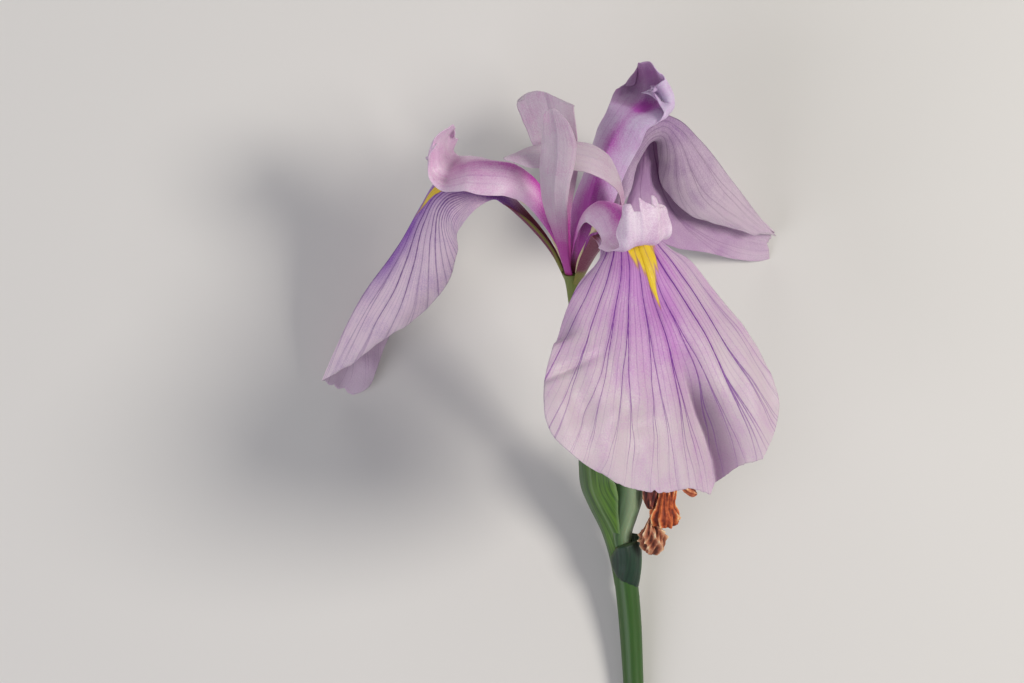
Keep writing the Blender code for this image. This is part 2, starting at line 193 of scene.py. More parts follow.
def new_grid(name, columns, rows):
    """Add a flat grid, and give back it and its vertices' places from -1 to 1 and 0 to 1."""
    bpy.ops.object.select_all(action="DESELECT")
    bpy.ops.mesh.primitive_grid_add(x_subdivisions=columns, y_subdivisions=rows, size=2)
    piece = bpy.context.object
    piece.name = name
    piece.data.name = name
    spots = np.empty(len(piece.data.vertices) * 3)
    piece.data.vertices.foreach_get("co", spots)
    spots = spots.reshape(-1, 3)
    return piece, spots[:, 0], (spots[:, 1] + 1) / 2


def keep_on_vertices(piece, name, *values):
    """Keep three numbers for each vertex, for the material to read."""
    layer = piece.data.attributes.new(name, "FLOAT_VECTOR", "POINT")
    layer.data.foreach_set("vector", np.stack(values, -1).astype(np.float32).ravel())


def round_frames(points):
    """Give points of a line two directions square to it that don't twist."""
    tangents = np.gradient(points, axis=0)
    tangents /= np.linalg.norm(tangents, axis=1, keepdims=True)
    first = np.cross(tangents, [0.0, 1.0, 0.0])
    first /= np.linalg.norm(first, axis=1, keepdims=True)
    return first, np.cross(tangents, first)


def new_rod(name, columns, rows, points, radii, lobes=0.0, crumple=None, depth=0.0,
            shares=(0, 0)):
    """Wrap a grid round a line of points, one for each row, join its seam and close its ends.
    A dried piece is crumpled inwards to a depth, and keeps its folds' height and its shares of
    orange and dark for its colour."""
    piece, across, along = new_grid(name, columns, rows)
    row = np.rint(along * rows).astype(int)
    first, second = round_frames(points)
    turn = across * math.pi
    radius = radii[row] * (1 + lobes * np.cos(3 * turn))
    if crumple:
        folded = crumple(turn, along)
        radius = radius * (1 - depth * (1 - folded))
        keep_on_vertices(piece, "tint", folded, *(np.full_like(along, part) for part in shares))
    placed = (points[row] + first[row] * (radius * np.cos(turn))[:, None]
              + second[row] * (radius * np.sin(turn))[:, None])
    piece.data.vertices.foreach_set("co", on_surface(placed).ravel())
    keep_on_vertices(piece, "flat", across * math.pi * radii[row], along, radii[row])
    bpy.ops.object.mode_set(mode="EDIT")
    bpy.ops.mesh.select_all(action="SELECT")
    bpy.ops.mesh.remove_doubles(threshold=MM / 1000)
    bpy.ops.mesh.fill_holes(sides=0)
    bpy.ops.mesh.normals_make_consistent(inside=False)
    bpy.ops.object.mode_set(mode="OBJECT")
    bpy.ops.object.shade_smooth_by_angle(angle=math.radians(40))
    return piece


# Living plant skin: waxy green with fine lengthwise fibres, so a soft broad shine.
# The fibres are drawn 0.5 mm apart, where the real ones are about 0.2 mm. The attribute holds
# mm round the stalk and the share of the way along it, and the clouds are about 7 mm wide.
FIBRES = (2.0, 6.0, 1.0)
CLOUDS = 140.0


def plant_skin(name, dark, light, clouded, roughness):
    """Make a skin whose fibres run from dark to light, with clouds of a third colour."""
    material, tree, shader = new_material(name, {
        "Roughness": roughness, "Subsurface Weight": 0.12, "Subsurface Scale": 0.002})
    place = add(tree, "Attribute", attribute_name="flat", out=1)
    stretched = add(tree, "VectorMath", (place, FIBRES), operation="MULTIPLY")
    fibres = add(tree, "TexNoise", {"Vector": stretched, "Scale": 1.0, "Detail": 3.0})
    cloud = add(tree, "TexNoise", {"Vector": add(tree, "TexCoord", out=3), "Scale": CLOUDS,
                                   "Detail": 2.0})
    colour = add(tree, "MixRGB", (fibres, linear(dark), linear(light)))
    colour = add(tree, "MixRGB", (cloud, colour, linear(clouded)))
    tree.links.new(colour, shader.inputs["Base Color"])
    height = add(tree, "Bump", {"Height": fibres, "Distance": 0.00008, "Strength": 0.6})
    tree.links.new(height, shader.inputs["Normal"])
    return material


stem_skin = plant_skin("Waxy stem skin", "#213F12", "#3E6A22", "#31571B", 0.42)
tube_skin = plant_skin("Pale tube skin", "#4E5E28", "#8A9244", "#6C7A36", 0.45)

# Each stretch of the stalk: its skin, where it starts and ends in mm, its rows, by how much of
# its radius its three lobes stand out, and its radii as (share, mm).
stalk_line, stalk_lengths = measured_line(STALK)
for name, node, slot, skin, start, end, rows, lobes, radii in (
        ("stem_round", "stem", "green_stem", stem_skin, OVARY_END - OVERLAP, STEM_END, 150, 0.0,
         [(0, 2.1), (0.2, 2.2), (0.4, 2.7), (0.52, 3.0), (0.6, 2.9), (0.75, 2.6), (1, 2.55)]),
        ("ovary_swelling", "ovary", "green_stem", stem_skin, TUBE_END - OVERLAP,
         OVARY_END + OVERLAP, 50, 0.04,
         [(0, 2.1), (0.3, 2.7), (0.6, 2.9), (0.85, 2.5), (1, 2.1)]),
        ("tube_flared", "perianth_tube", "flower_tube", tube_skin, -OVERLAP, TUBE_END + 0.3, 40,
         0.05, [(0, 3.0), (0.12, 2.6), (0.3, 2.25), (0.6, 2.1), (1, 2.1)])):
    shares = np.linspace(0, 1, rows + 1)
    points = read_line(stalk_line, stalk_lengths, start + shares * (end - start))
    stretch = new_rod(name, 40, rows, points, through(radii, shares)[:, 0], lobes)
    stretch.data.materials.append(skin)
    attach(stretch, "root")
    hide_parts(node)


# Outer petals, called falls
# Three soft petals. Each rises from the throat as a narrow haft with a dark stain that is partly
# painted shade under its style arm, arches over and hangs as a broad blade with a gold signal at
# its start and dark veins that fan out and fork.
FRONT, LEFT, BACK = -62.0, 165.0, 40.0  # degrees round the flower's axis

# Every petal is placed by a plan. Its places on the blade are across, from -1 at one margin to 1
# at the other, and share, from 0 at the throat to 1 at the tip. Lengths are in mm:
#   azimuth     the way it grows, in degrees, and calm, the reach over which bends are evened
#   midline     its middle line as (outwards, sideways, up)
#   half_width  (share, width on the -1 side, width on the 1 side), made wavy by a share
#   droop       (share, then how steeply it droops in degrees: at the middle and the margin of
#               the -1 side, and of the 1 side), and roll, (share, degrees it is turned)
#   fold        (share, from, to), the widths between which the -1 side bends
#   rounding    the share where the tip starts to round, slant, how much shorter the 1 side is,
#               and tip_cut, (across, cut), taken off the tip from the share cut_from on
BEND_STEPS = 24
NARROWEST, NARROWEST_FOLD = 0.001, 0.2


def place_blade(plan, across, along):
    """Place a blade's vertices, and give back them, their share of the length, and their
    place on the blade as if it were pressed flat, in millimetres."""
    line, lengths = measured_line(plan["midline"])
    length = lengths[-1]

    # Its place on the blade pressed flat, once the tip is rounded and cut.
    rounding = plan["rounding"]
    tip = np.clip((along - rounding) / (1 - rounding), 0, 1)
    rounded = rounding + (1 - rounding) * tip * np.sqrt(1 - across ** 2 / 2)
    share = np.where(along > rounding, rounded, along)
    share = share * (1 - plan.get("slant", 0.0) * (1 + across) / 2)
    if "tip_cut" in plan:
        cut = np.interp(across, *np.array(plan["tip_cut"]).T)
        share = share - cut / length * step(plan["cut_from"], 1, along) ** 2
    half = through(plan["half_width"], along)
    half = np.where(across < 0, half[..., 0], half[..., 1])
    half = half * (1 + plan.get("wavy", 0.0) * edge_waves(plan["seed"] + np.sign(across), along))
    flat = np.abs(across) * half * np.sqrt(1 - tip ** 2 / 2)
    reach = share * length

    # The way along the midline, evened out, and the two ways square to it.
    calm = plan["calm"] / 2
    ahead = read_line(line, lengths, reach + calm)
    behind = read_line(line, lengths, np.maximum(reach - calm, 0))
    tangent = ahead - behind
    tangent /= np.linalg.norm(tangent, axis=-1, keepdims=True)
    side = np.zeros_like(tangent)
    side[..., 1] = 1
    side -= (side * tangent).sum(-1, keepdims=True) * tangent
    side /= np.linalg.norm(side, axis=-1, keepdims=True)
    normal = np.cross(tangent, side)
    roll = np.radians(through(plan.get("roll", [(0, 0), (1, 0)]), share))
    side, normal = (side * np.cos(roll) + normal * np.sin(roll),
                    normal * np.cos(roll) - side * np.sin(roll))

    # The droop of its half of the blade, added up in steps from the midline outwards.
    bend = np.radians(through(plan["droop"], share))
    crease = np.where(across < 0, bend[..., 0], bend[..., 2])
    margin = np.where(across < 0, bend[..., 1], bend[..., 3])
    whole = np.maximum(flat, NARROWEST) / np.maximum(np.abs(across), NARROWEST)
    starts, ends = np.zeros_like(flat), whole
    if "fold" in plan:
        fold = through(plan["fold"], share)
        starts = np.where(across < 0, np.minimum(fold[..., 0], whole - NARROWEST_FOLD), starts)
        ends = np.where(across < 0, np.minimum(fold[..., 1], whole), ends)
    wide = deep = 0.0
    for k in range(BEND_STEPS):
        part = np.clip((flat * (k + 0.5) / BEND_STEPS - starts) / (ends - starts), 0, 1)
        angle = crease + (margin - crease) * part
        wide = wide + np.cos(angle) / BEND_STEPS
        deep = deep + np.sin(angle) / BEND_STEPS
    wide, deep = flat * wide * np.sign(across), flat * deep
    local = read_line(line, lengths, reach) + side * wide[..., None] - normal * deep[..., None]

    azimuth = math.radians(plan["azimuth"])
    x = local[..., 0] * math.cos(azimuth) - local[..., 1] * math.sin(azimuth)
    y = local[..., 0] * math.sin(azimuth) + local[..., 1] * math.cos(azimuth)
    return np.stack([x, y, local[..., 2]], -1), share, flat * np.sign(across), reach


def edge_waves(seed, along):
    """Uneven waves of about -1 to 1 for a margin, the same for the same seed."""
    seed = np.asarray(seed, float)
    waves = [(9.0, 0.5), (17.0, 0.3), (31.0, 0.25), (67.0, 0.12)]
    return sum(size * np.sin(pace * along + 2.4 * seed * (k + 1) + k)
               for k, (pace, size) in enumerate(waves))


# The outermost cells are squeezed at the corners, so they take their way up from further in.
SQUEEZED = 4
# At its margins a petal has this share of its thickness, and it thins out in so many steps.
THINNED, THIN_STEPS = 0.4, 10


def new_blade(name, plan, columns, rows, thickness, vein_strength, materials):
    """Make a thin petal: place a grid by its plan, raise its relief and give it thickness, which
    thins out at the margins."""
    piece, across, along = new_grid(name, columns, rows)
    across = -across
    placed, share, flat, reach = place_blade(plan, across, along)
    shape = (rows + 1, columns + 1)
    sheet = placed.reshape(*shape, 3)
    up = np.cross(np.gradient(sheet, axis=1), np.gradient(sheet, axis=0))
    up /= np.linalg.norm(up, axis=-1, keepdims=True) + 1e-12
    up = np.pad(up[SQUEEZED:-SQUEEZED, SQUEEZED:-SQUEEZED],
                ((SQUEEZED, SQUEEZED), (SQUEEZED, SQUEEZED), (0, 0)), mode="edge")
    relief = plan["relief"](across, share, flat, reach)
    placed = placed + up.reshape(-1, 3) * relief[:, None]
    piece.data.vertices.foreach_set("co", on_surface(placed).ravel())
    number, pitch = plan["numbers"](across, share, flat, reach)
    strength = vein_strength * (1 - 0.4 * step(0.4, 0.9, np.abs(across))) * step(28, 44, reach)
    keep_on_vertices(piece, "flat", flat, reach, strength)
    keep_on_vertices(piece, "veins", number, share, pitch)
    keep_on_vertices(piece, "tint", *plan["tint"](across, share, flat, reach))
    for material in materials:
        piece.data.materials.append(material)
    piece.data.shade_smooth()
    middle = piece.vertex_groups.new(name="middle")
    edge = np.maximum(np.abs(across), along)
    weight = np.rint(THIN_STEPS * (1 - step(0.8, 1.0, edge)))
    for level in range(THIN_STEPS + 1):
        chosen = np.nonzero(weight == level)[0]
        if len(chosen):
            middle.add(chosen.tolist(), level / THIN_STEPS, "REPLACE")
    shell = piece.modifiers.new("thickness", "SOLIDIFY")
    shell.thickness = thickness * MM
    shell.offset = 0
    shell.vertex_group = "middle"
    shell.thickness_vertex_group = THINNED
    shell.material_offset = len(materials) - 1
    shell.material_offset_rim = 0
    bpy.ops.object.modifier_apply(modifier="thickness")
    return piece


# Iris petal tissue: soft, slightly see-through, with a fine crystalline grain of raised cells,
# so a satin surface with small sparkles. Main veins run in the blade, each forks twice towards
# the margin, and fainter ones fill the spaces.

# A petal's vertices keep what its tissue reads, three numbers at a time. "flat" has the mm
# across and along the blade, as if it were pressed flat, and how strong its veins are. "veins"
# has the vein's number, the share of the length and the mm between veins. "tint" has the blush,
# the gold and the stain. A stain below nought is painted shade, dusky as down in a deep valley.

# The cells are drawn 0.3 mm across, and are really about 0.1 mm.
CELLS_PER_MM, CRINKLES_PER_MM, CLOUDS_PER_MM = 3.4, 0.6, 0.13
VEIN_EDGE_AT_START, VEIN_EDGE_AT_TIP = 0.28, 0.15  # mm from a vein's middle to its edge
HALO_EDGE = 1.3
SMOOTH = {"interpolation_type": "SMOOTHSTEP"}


def petal_tissue(name, pale, blush, vein, stain="#5A1420", rim="#6B6420", gold="#E6C800",
                 roughness=0.5, streaks=0.7):
    """Make a tissue of these colours, with its blush streaked by so much."""
    material, tree, shader = new_material(name, {
        "IOR": 1.42, "Subsurface Weight": 0.22, "Subsurface Radius": (1.0, 0.55, 0.9),
        "Subsurface Scale": 0.0012, "Sheen Weight": 0.1, "Sheen Roughness": 0.4,
        "Sheen Tint": linear("#E6D0F0")})
    place, vein_place, tint = (add(tree, "Attribute", attribute_name=kept, out=1)
                               for kept in ("flat", "veins", "tint"))
    reach, vein_strength = add(tree, "SeparateXYZ", (place,)).node.outputs[1:]
    number, share, pitch = add(tree, "SeparateXYZ", (vein_place,)).node.outputs
    blushed, golden, stain_and_shade = add(tree, "SeparateXYZ", (tint,)).node.outputs

    # How far each place is from the nearest vein, in mm, once the veins wander and fork.
    slow = add(tree, "VectorMath", (place, (0.12, 0.05, 0.0)), operation="MULTIPLY")
    wander = add(tree, "TexNoise", {"Vector": slow, "Scale": 1.0, "Detail": 1.0})
    wander = add(tree, "Math", (wander, 0.5), operation="SUBTRACT")
    number = add(tree, "Math", (wander, 0.3, number), operation="MULTIPLY_ADD")
    nearest = add(tree, "Math", (number,), operation="ROUND")
    chance = add(tree, "TexWhiteNoise", {"W": nearest}, noise_dimensions="1D")
    away = add(tree, "Math", (number, nearest), operation="SUBTRACT")
    away = add(tree, "Math", (away,), operation="ABSOLUTE")
    fork_from = add(tree, "Math", (chance, 0.2, 0.5), operation="MULTIPLY_ADD")
    fork_to = add(tree, "Math", (fork_from, 0.4), operation="ADD")
    for start, end, spread in ((fork_from, fork_to, 0.25), (0.7, 1.1, 0.125)):
        fork = add(tree, "MapRange", (share, start, end, 0.0, spread), **SMOOTH)
        away = add(tree, "Math", (away, fork), operation="SUBTRACT")
        away = add(tree, "Math", (away,), operation="ABSOLUTE")
    away = add(tree, "Math", (away, pitch), operation="MULTIPLY")

    # The main veins, the colour that spreads from them, and the fainter veins between them.
    variety = add(tree, "Math", (chance, 0.5, 0.75), operation="MULTIPLY_ADD")
    edge = add(tree, "MapRange", (share, 0.35, 1.0, VEIN_EDGE_AT_START, VEIN_EDGE_AT_TIP))
    edge = add(tree, "Math", (edge, variety), operation="MULTIPLY")
    core = add(tree, "Math", (edge, 0.4), operation="MULTIPLY")
    line = add(tree, "MapRange", (away, core, edge, 1.0, 0.0), **SMOOTH)
    broken = add(tree, "VectorMath", (place, (1.4, 0.5, 0.0)), operation="MULTIPLY")
    broken = add(tree, "TexNoise", {"Vector": broken, "Scale": 1.0})
    broken = add(tree, "MapRange", (broken, 0.3, 0.6, 0.75, 1.0), **SMOOTH)
    fade = add(tree, "MapRange", (share, 0.6, 1.0, 1.25, 0.25))
    for weaker in (fade, variety, broken):
        line = add(tree, "Math", (line, weaker), operation="MULTIPLY")
    halo = add(tree, "MapRange", (away, 0.0, HALO_EDGE, 1.0, 0.0), **SMOOTH)
    weaker = add(tree, "MapRange", (share, 0.4, 0.85, 0.3, 0.0), **SMOOTH)
    halo = add(tree, "Math", (halo, weaker), operation="MULTIPLY")
    between = add(tree, "Math", (number, 0.125), operation="ADD")
    between = add(tree, "Math", (between, 0.125), operation="PINGPONG")
    between = add(tree, "Math", (between, pitch), operation="MULTIPLY")
    between = add(tree, "MapRange", (between, 0.02, 0.2, 0.34, 0.0), **SMOOTH)
    fade = add(tree, "MapRange", (share, 0.6, 0.9, 1.0, 0.3), **SMOOTH)
    for weaker in (fade, broken):
        between = add(tree, "Math", (between, weaker), operation="MULTIPLY")
    for fainter in (halo, between):
        line = add(tree, "Math", (line, fainter), operation="MAXIMUM")
    line = add(tree, "Math", (line, vein_strength), operation="MULTIPLY", use_clamp=True)

    # The blush is clouded, streaked along the veins and broken up by the cells.
    cloud = add(tree, "TexNoise", {"Vector": place, "Scale": CLOUDS_PER_MM, "Detail": 3.0})
    cloud = add(tree, "MapRange", (cloud, 0.3, 0.7, -0.16, 0.16))
    beside = add(tree, "Math", (number, 3.5), operation="MULTIPLY")
    beyond = add(tree, "Math", (reach, 0.06), operation="MULTIPLY")
    along_veins = add(tree, "CombineXYZ", (beside, beyond, 0.0))
    streak = add(tree, "TexNoise", {"Vector": along_veins, "Scale": 1.0, "Detail": 3.0})
    streak = add(tree, "Math", (streak, 0.5), operation="SUBTRACT")
    grain = add(tree, "TexNoise", {"Vector": place, "Scale": CELLS_PER_MM, "Detail": 1.0})
    speckle = add(tree, "MapRange", (grain, 0.35, 0.7, -0.12, 0.14))
    blushed = add(tree, "Math", (streak, streaks, blushed), operation="MULTIPLY_ADD")
    blushed = add(tree, "Math", (blushed, cloud), operation="ADD")
    blushed = add(tree, "Math", (blushed, speckle), operation="SUBTRACT")

    # The stain deepens and then turns to the rim's colour, and the gold has a brown edge. A stain
    # below nought is painted shade in dusky mauve.
    # Painted shade: a stain below nought mixes in the dusky mauve #80667E.
    dusky = add(tree, "MapRange", (stain_and_shade, -1.2, -0.2, 0.8, 0.0), **SMOOTH)
    stain_and_shade = add(tree, "Math", (streak, 0.5, stain_and_shade), operation="MULTIPLY_ADD")
    deep = add(tree, "MapRange", (stain_and_shade, 0.2, 0.85, 0.0, 1.0), **SMOOTH)
    olive = add(tree, "MapRange", (stain_and_shade, 1.15, 1.7, 0.0, 1.0), **SMOOTH)
    golden = add(tree, "Math", (streak, 0.35, golden), operation="MULTIPLY_ADD")
    brown = add(tree, "MapRange", (golden, -0.1, 0.06, 0.0, 0.65), **SMOOTH)
    bright = add(tree, "MapRange", (golden, 0.0, 0.2, 0.0, 1.0), **SMOOTH)
    unveined = add(tree, "Math", (line, -0.5, 1.0), operation="MULTIPLY_ADD")
    bright = add(tree, "Math", (bright, unveined), operation="MULTIPLY")
    colour = linear(pale)
    for amount, shade in ((blushed, blush), (dusky, "#80667E"), (line, vein), (deep, stain),
                          (olive, rim), (brown, "#B07A2A"), (bright, gold)):
        colour = add(tree, "MixRGB", (amount, colour, linear(shade)))
    tree.links.new(colour, shader.inputs["Base Color"])

    height = grain
    crinkle = add(tree, "TexNoise", {"Vector": place, "Scale": CRINKLES_PER_MM, "Detail": 3.0})
    for form, size in ((crinkle, 1.2), (streak, 1.4), (line, -1.0)):
        height = add(tree, "Math", (form, size, height), operation="MULTIPLY_ADD")
    bump = add(tree, "Bump", {"Height": height, "Distance": 0.00013, "Strength": 0.6})
    tree.links.new(bump, shader.inputs["Normal"])
    shine = add(tree, "MapRange", (grain, 0.35, 0.7, roughness + 0.08, roughness - 0.16))
    tree.links.new(shine, shader.inputs["Roughness"])
    return material


# The falls' dark maroon haft stain is partly their own colour and partly painted shade under the
# style arms.
fall_face = petal_tissue("Fall petal upper face", "#C8B8C0", "#B87CBC", "#6C168A", "#701C30")
left_face = petal_tissue("Fall petal upper face, violet", "#EAD2DE", "#8648B0", "#642C82",
                         "#701C30", streaks=0.4)
# The back fall's upper face is a darker, duskier copy of the fall tissue: painted shade.
shaded_back_face = petal_tissue("Fall petal upper face, painted shade", "#C6B2C2", "#8C6698", "#54305E",
                         "#701C30")
fall_under = petal_tissue("Fall petal under face", "#CDB8C8", "#AA86AE", "#6E3F78", "#74304A",
                          "#7C7A34", "#C9A050", 0.55)

# Where the front fall's main veins lie, from the middle of the blade, at seven reaches from the
# throat: each row is a reach and then the places, all in mm.
VEIN_NUMBERS = np.arange(-8, 9)
FRONT_VEINS = np.array([
    (20, -3.6, -3.2, -2.8, -2.4, -2, -1.5, -1.1, -0.5, 0, 0.5, 1.1, 1.6, 2.1, 2.5, 2.9, 3.3, 3.7),
    (41, -12, -10.2, -8.6, -7, -5.2, -3.9, -2.8, -1.3, 0, 1.2, 2.6, 4.3, 6, 7.4, 8.9, 10.4, 12),
    (50, -24, -20, -16.5, -13.1, -9.2, -6.2, -4.2, -1.8, 0, 1.7, 4, 7.5, 11.6, 15.2, 18.5, 22, 26),
    (60, -40, -34, -28, -22, -16.4, -10.9, -7.4, -3.2, 0, 2.7, 7.6, 12, 16.2, 20.5, 25, 29, 33),
    (70, -56, -48, -40, -32, -24.2, -16.5, -11.2, -4.6, 0.1, 4.6, 10.4, 14.4, 19, 24.5, 30, 35, 40),
    (80, -72, -62, -52, -42, -32.5, -23.4, -14.5, -5.4, 0.4, 7.2, 12.4, 17, 22.5, 29, 36, 43, 50),
    (103, -100, -88, -76, -64, -52, -40, -23, -8, 2, 11, 19, 27, 35, 43, 52, 60, 68),
])
# Where its gold ends: (across, reach) in mm.
FRONT_GOLD = [(-6, 20), (-4.2, 41), (-3.2, 46), (-2.4, 51), (-1.6, 49.5), (-0.8, 52),
              (0.2, 56.5), (1.0, 62), (1.8, 56), (2.4, 51.5), (3.0, 53.5), (3.8, 48),
              (4.8, 45), (6.2, 42), (8.5, 20)]


def front_numbers(across, share, flat, reach):
    """Number the front fall's veins, and give the spaces between them in mm."""
    rows = through(FRONT_VEINS, reach)
    number = np.array([np.interp(x, row, VEIN_NUMBERS) for x, row in zip(flat, rows)])
    low = np.floor(number).astype(int) - VEIN_NUMBERS[0]
    low = np.clip(low, 0, len(VEIN_NUMBERS) - 2)
    here = np.arange(len(rows))
    return number, rows[here, low + 1] - rows[here, low]


def fan_numbers(vein_step, fan):
    """Give the function that numbers veins spread evenly over a blade that opens like a fan."""
    def numbers(across, share, flat, reach):
        pitch_share = vein_step * through(fan, share)[..., 0]
        half = np.abs(flat) / np.maximum(np.abs(across), 0.05)
        return across / pitch_share, pitch_share * np.maximum(half, 1.0)
    return numbers


def fall_tint(stain_end, gold_edge, violet, ridge=0.82, base=0.4):
    """Give the function that colours a fall: its blush, strongest by the midline, its haft, with a
    stain up to a share of the length that is partly painted shade under the style arm, and its
    gold, with an edge as (across, reach) in mm."""
    gold_edge = np.array(gold_edge, float)

    def tint(across, share, flat, reach):
        blush = ridge * np.exp(-(across / 0.42) ** 2) * (1 - step(0.5, 0.95, share))
        blush = blush + base * (1 - step(0.42, 0.8, share)) - 0.2 * step(0.75, 1.0, share)
        blush = blush + violet * np.exp(-(flat / 3.2) ** 2) * (1 - step(0.5, 0.8, share))
        end = np.interp(flat, *gold_edge.T) + 0.7 * np.sin(flat * 6.0 + 0.6)
        gold = (end - reach) / 12
        gold = np.minimum(gold, (reach - 35) / 4)
        haft = 1 - step(stain_end, stain_end + 0.12, share)
        rim = np.maximum(step(0.4, 0.9, across), 1 - step(0.03, 0.1, share))
        return np.clip(blush, 0, 1), gold, haft * (0.9 + rim)
    return tint


def from_crease(flat, reach):
    """Say how far places of the front fall are from the crease at its lower right, in mm."""
    return flat - np.interp(reach, [70, 103], [1.8, 8.0])


def crease_wall(flat, reach):
    """Rise from 0 to 1 into the valley along the crease, steeply on its right."""
    off = from_crease(flat, reach)
    wall = np.where(off > 0, np.exp(-(np.abs(off) / 5.0) ** 1.15), np.exp(-np.abs(off) / 11.0))
    return step(64, 94, reach) * wall


def front_tint(across, share, flat, reach):
    """Colour the front fall, with painted shade on the right wall of its valley: dusky mauve, and a
    little more blush along the crease.
    """
    blush, gold, stain = fall_tint(0.27, FRONT_GOLD, 0.35)(across, share, flat, reach)
    # Painted shade in the valley: more blush along the crease and a dusky band on its right wall.
    off = from_crease(flat, reach)
    shade = step(-0.6, 0.8, off) * np.exp(-(off / 6.5) ** 2) * step(72, 90, reach)
    return blush + 0.15 * crease_wall(flat, reach), gold, stain - 1.2 * shade


def ruffles(seed, across, share, inset, waxing, pace):
    """Wave a blade from a place across it outwards, more and more over a stretch of shares."""
    waves = edge_waves(seed + np.sign(across), share * pace)
    return step(inset, 1.0, np.abs(across)) * step(*waxing, share) * waves


def groove(flat, reach, fading):
    """Sink by 1 at the midline, from the gold on, and fade out over a stretch of the reach."""
    return -np.exp(-np.abs(flat) / 2.5) * step(36, 44, reach) * (1 - step(*fading, reach))


def front_relief(across, share, flat, reach):
    """Raise the front fall's folds: the creased valley at its lower right, the dent in its left
    margin, the wrinkle below that, soft hollows at the lower left and the ruffled margin."""
    valley = -7.6 * crease_wall(flat, reach)
    swell = 1.2 * step(70, 95, reach) * np.exp(-((flat - 15) / 6) ** 2)
    below = np.where(reach > 60.5, 1.8, 7.0)
    dent = -4.6 * np.exp(-((reach - 60.5) / below) ** 2) * step(18.5, 27, -flat)
    wrinkle = -1.3 * np.exp(-((reach - 68.5 + (flat + 19) * 0.14) / 1.2) ** 2) * step(14, 26, -flat)
    hollow = -1.5 * np.exp(-((flat + 12) / 4.5) ** 2 - ((reach - 87) / 3.5) ** 2)
    hollow = hollow - 1.2 * np.exp(-((flat + 25) / 4) ** 2 - ((reach - 80) / 3.5) ** 2)
    hollow = hollow + 0.9 * np.exp(-((flat + 18) / 3) ** 2 - ((reach - 84) / 3) ** 2)
    middle = 1.2 * groove(flat, reach, (58, 80))
    ruffle = np.where(across < 0, 1.1, 0.5) * ruffles(1.0, across, share, 0.6, (0.42, 0.7), 1.4)
    frill = 0.45 * step(0.88, 1.0, share) * (np.sin(flat * 0.6 + 1.0) + 0.4 * np.sin(flat * 1.5))
    swells = 0.35 * step(55, 75, reach) * np.sin(flat * 0.62 + 0.03 * reach)
    return valley + swell + dent + wrinkle + hollow + middle + ruffle + frill + swells


def nicks(seed, places):
    """Give a tip's cuts, in mm: fine uneven nicks, with deeper cuts at the places given."""
    across = np.linspace(-1, 1, 161)
    cut = 0.25 * np.abs(edge_waves(seed, across * 3)) + 0.12 * np.sin(across * 140 + seed) ** 2
    for middle, half, depth in places:
        cut = cut + depth * np.clip(1 - np.abs(across - middle) / half, 0, 1) ** 1.3
    return np.stack([across, cut], -1)


front_fall = {
    "azimuth": FRONT, "calm": 16.0, "rounding": 0.72, "seed": 1.0, "wavy": 0.012,
    "midline": [(1.6, 0, -3.2), (8.3, 0, 7.4), (14, 0, 14.2), (20, 0, 21), (26, 0, 25),
                (30.5, 0, 25.3), (35, 0, 21.5), (41, 0, 12.6), (49.6, 0, 2), (58.8, 0, -12.5),
                (64.5, 0, -28.5)],
    "half_width": [(0, 1, 1), (0.1, 2.3, 2.3), (0.25, 4.5, 4.5), (0.33, 7.5, 7.5),
                   (0.45, 16, 14.5), (0.58, 27, 20), (0.68, 34, 23.5), (0.8, 36, 26),
                   (1, 33.5, 31.5)],
    "droop": [(0, 0, -25, 0, -25), (0.25, -10, -20, -10, -20), (0.36, 5, 60, 5, 60),
              (0.5, 5, 30, 5, 35), (0.7, 0, 10, 0, 15), (1, 0, 0, 0, 0)],
    "tip_cut": nicks(1.0, [(-0.5, 0.04, 0.9), (0.25, 0.32, -4.4), (0.8, 0.3, -2.2),
                           (0.62, 0.04, 0.4)]),
    "cut_from": 0.8, "relief": front_relief, "numbers": front_numbers, "tint": front_tint,
}


def left_relief(across, share, flat, reach):
    """Ruffle the left fall's margins, swell its blade a little and groove its middle."""
    swell = 0.4 * np.sin(flat * 0.55 + reach * 0.1) * step(0.4, 0.7, share) * step(
        0.1, 0.5, np.abs(across))
    return (ruffles(3.0, across, share, 0.5, (0.35, 0.6), 1.6) + swell
            + 0.7 * groove(flat, reach, (50, 70)))


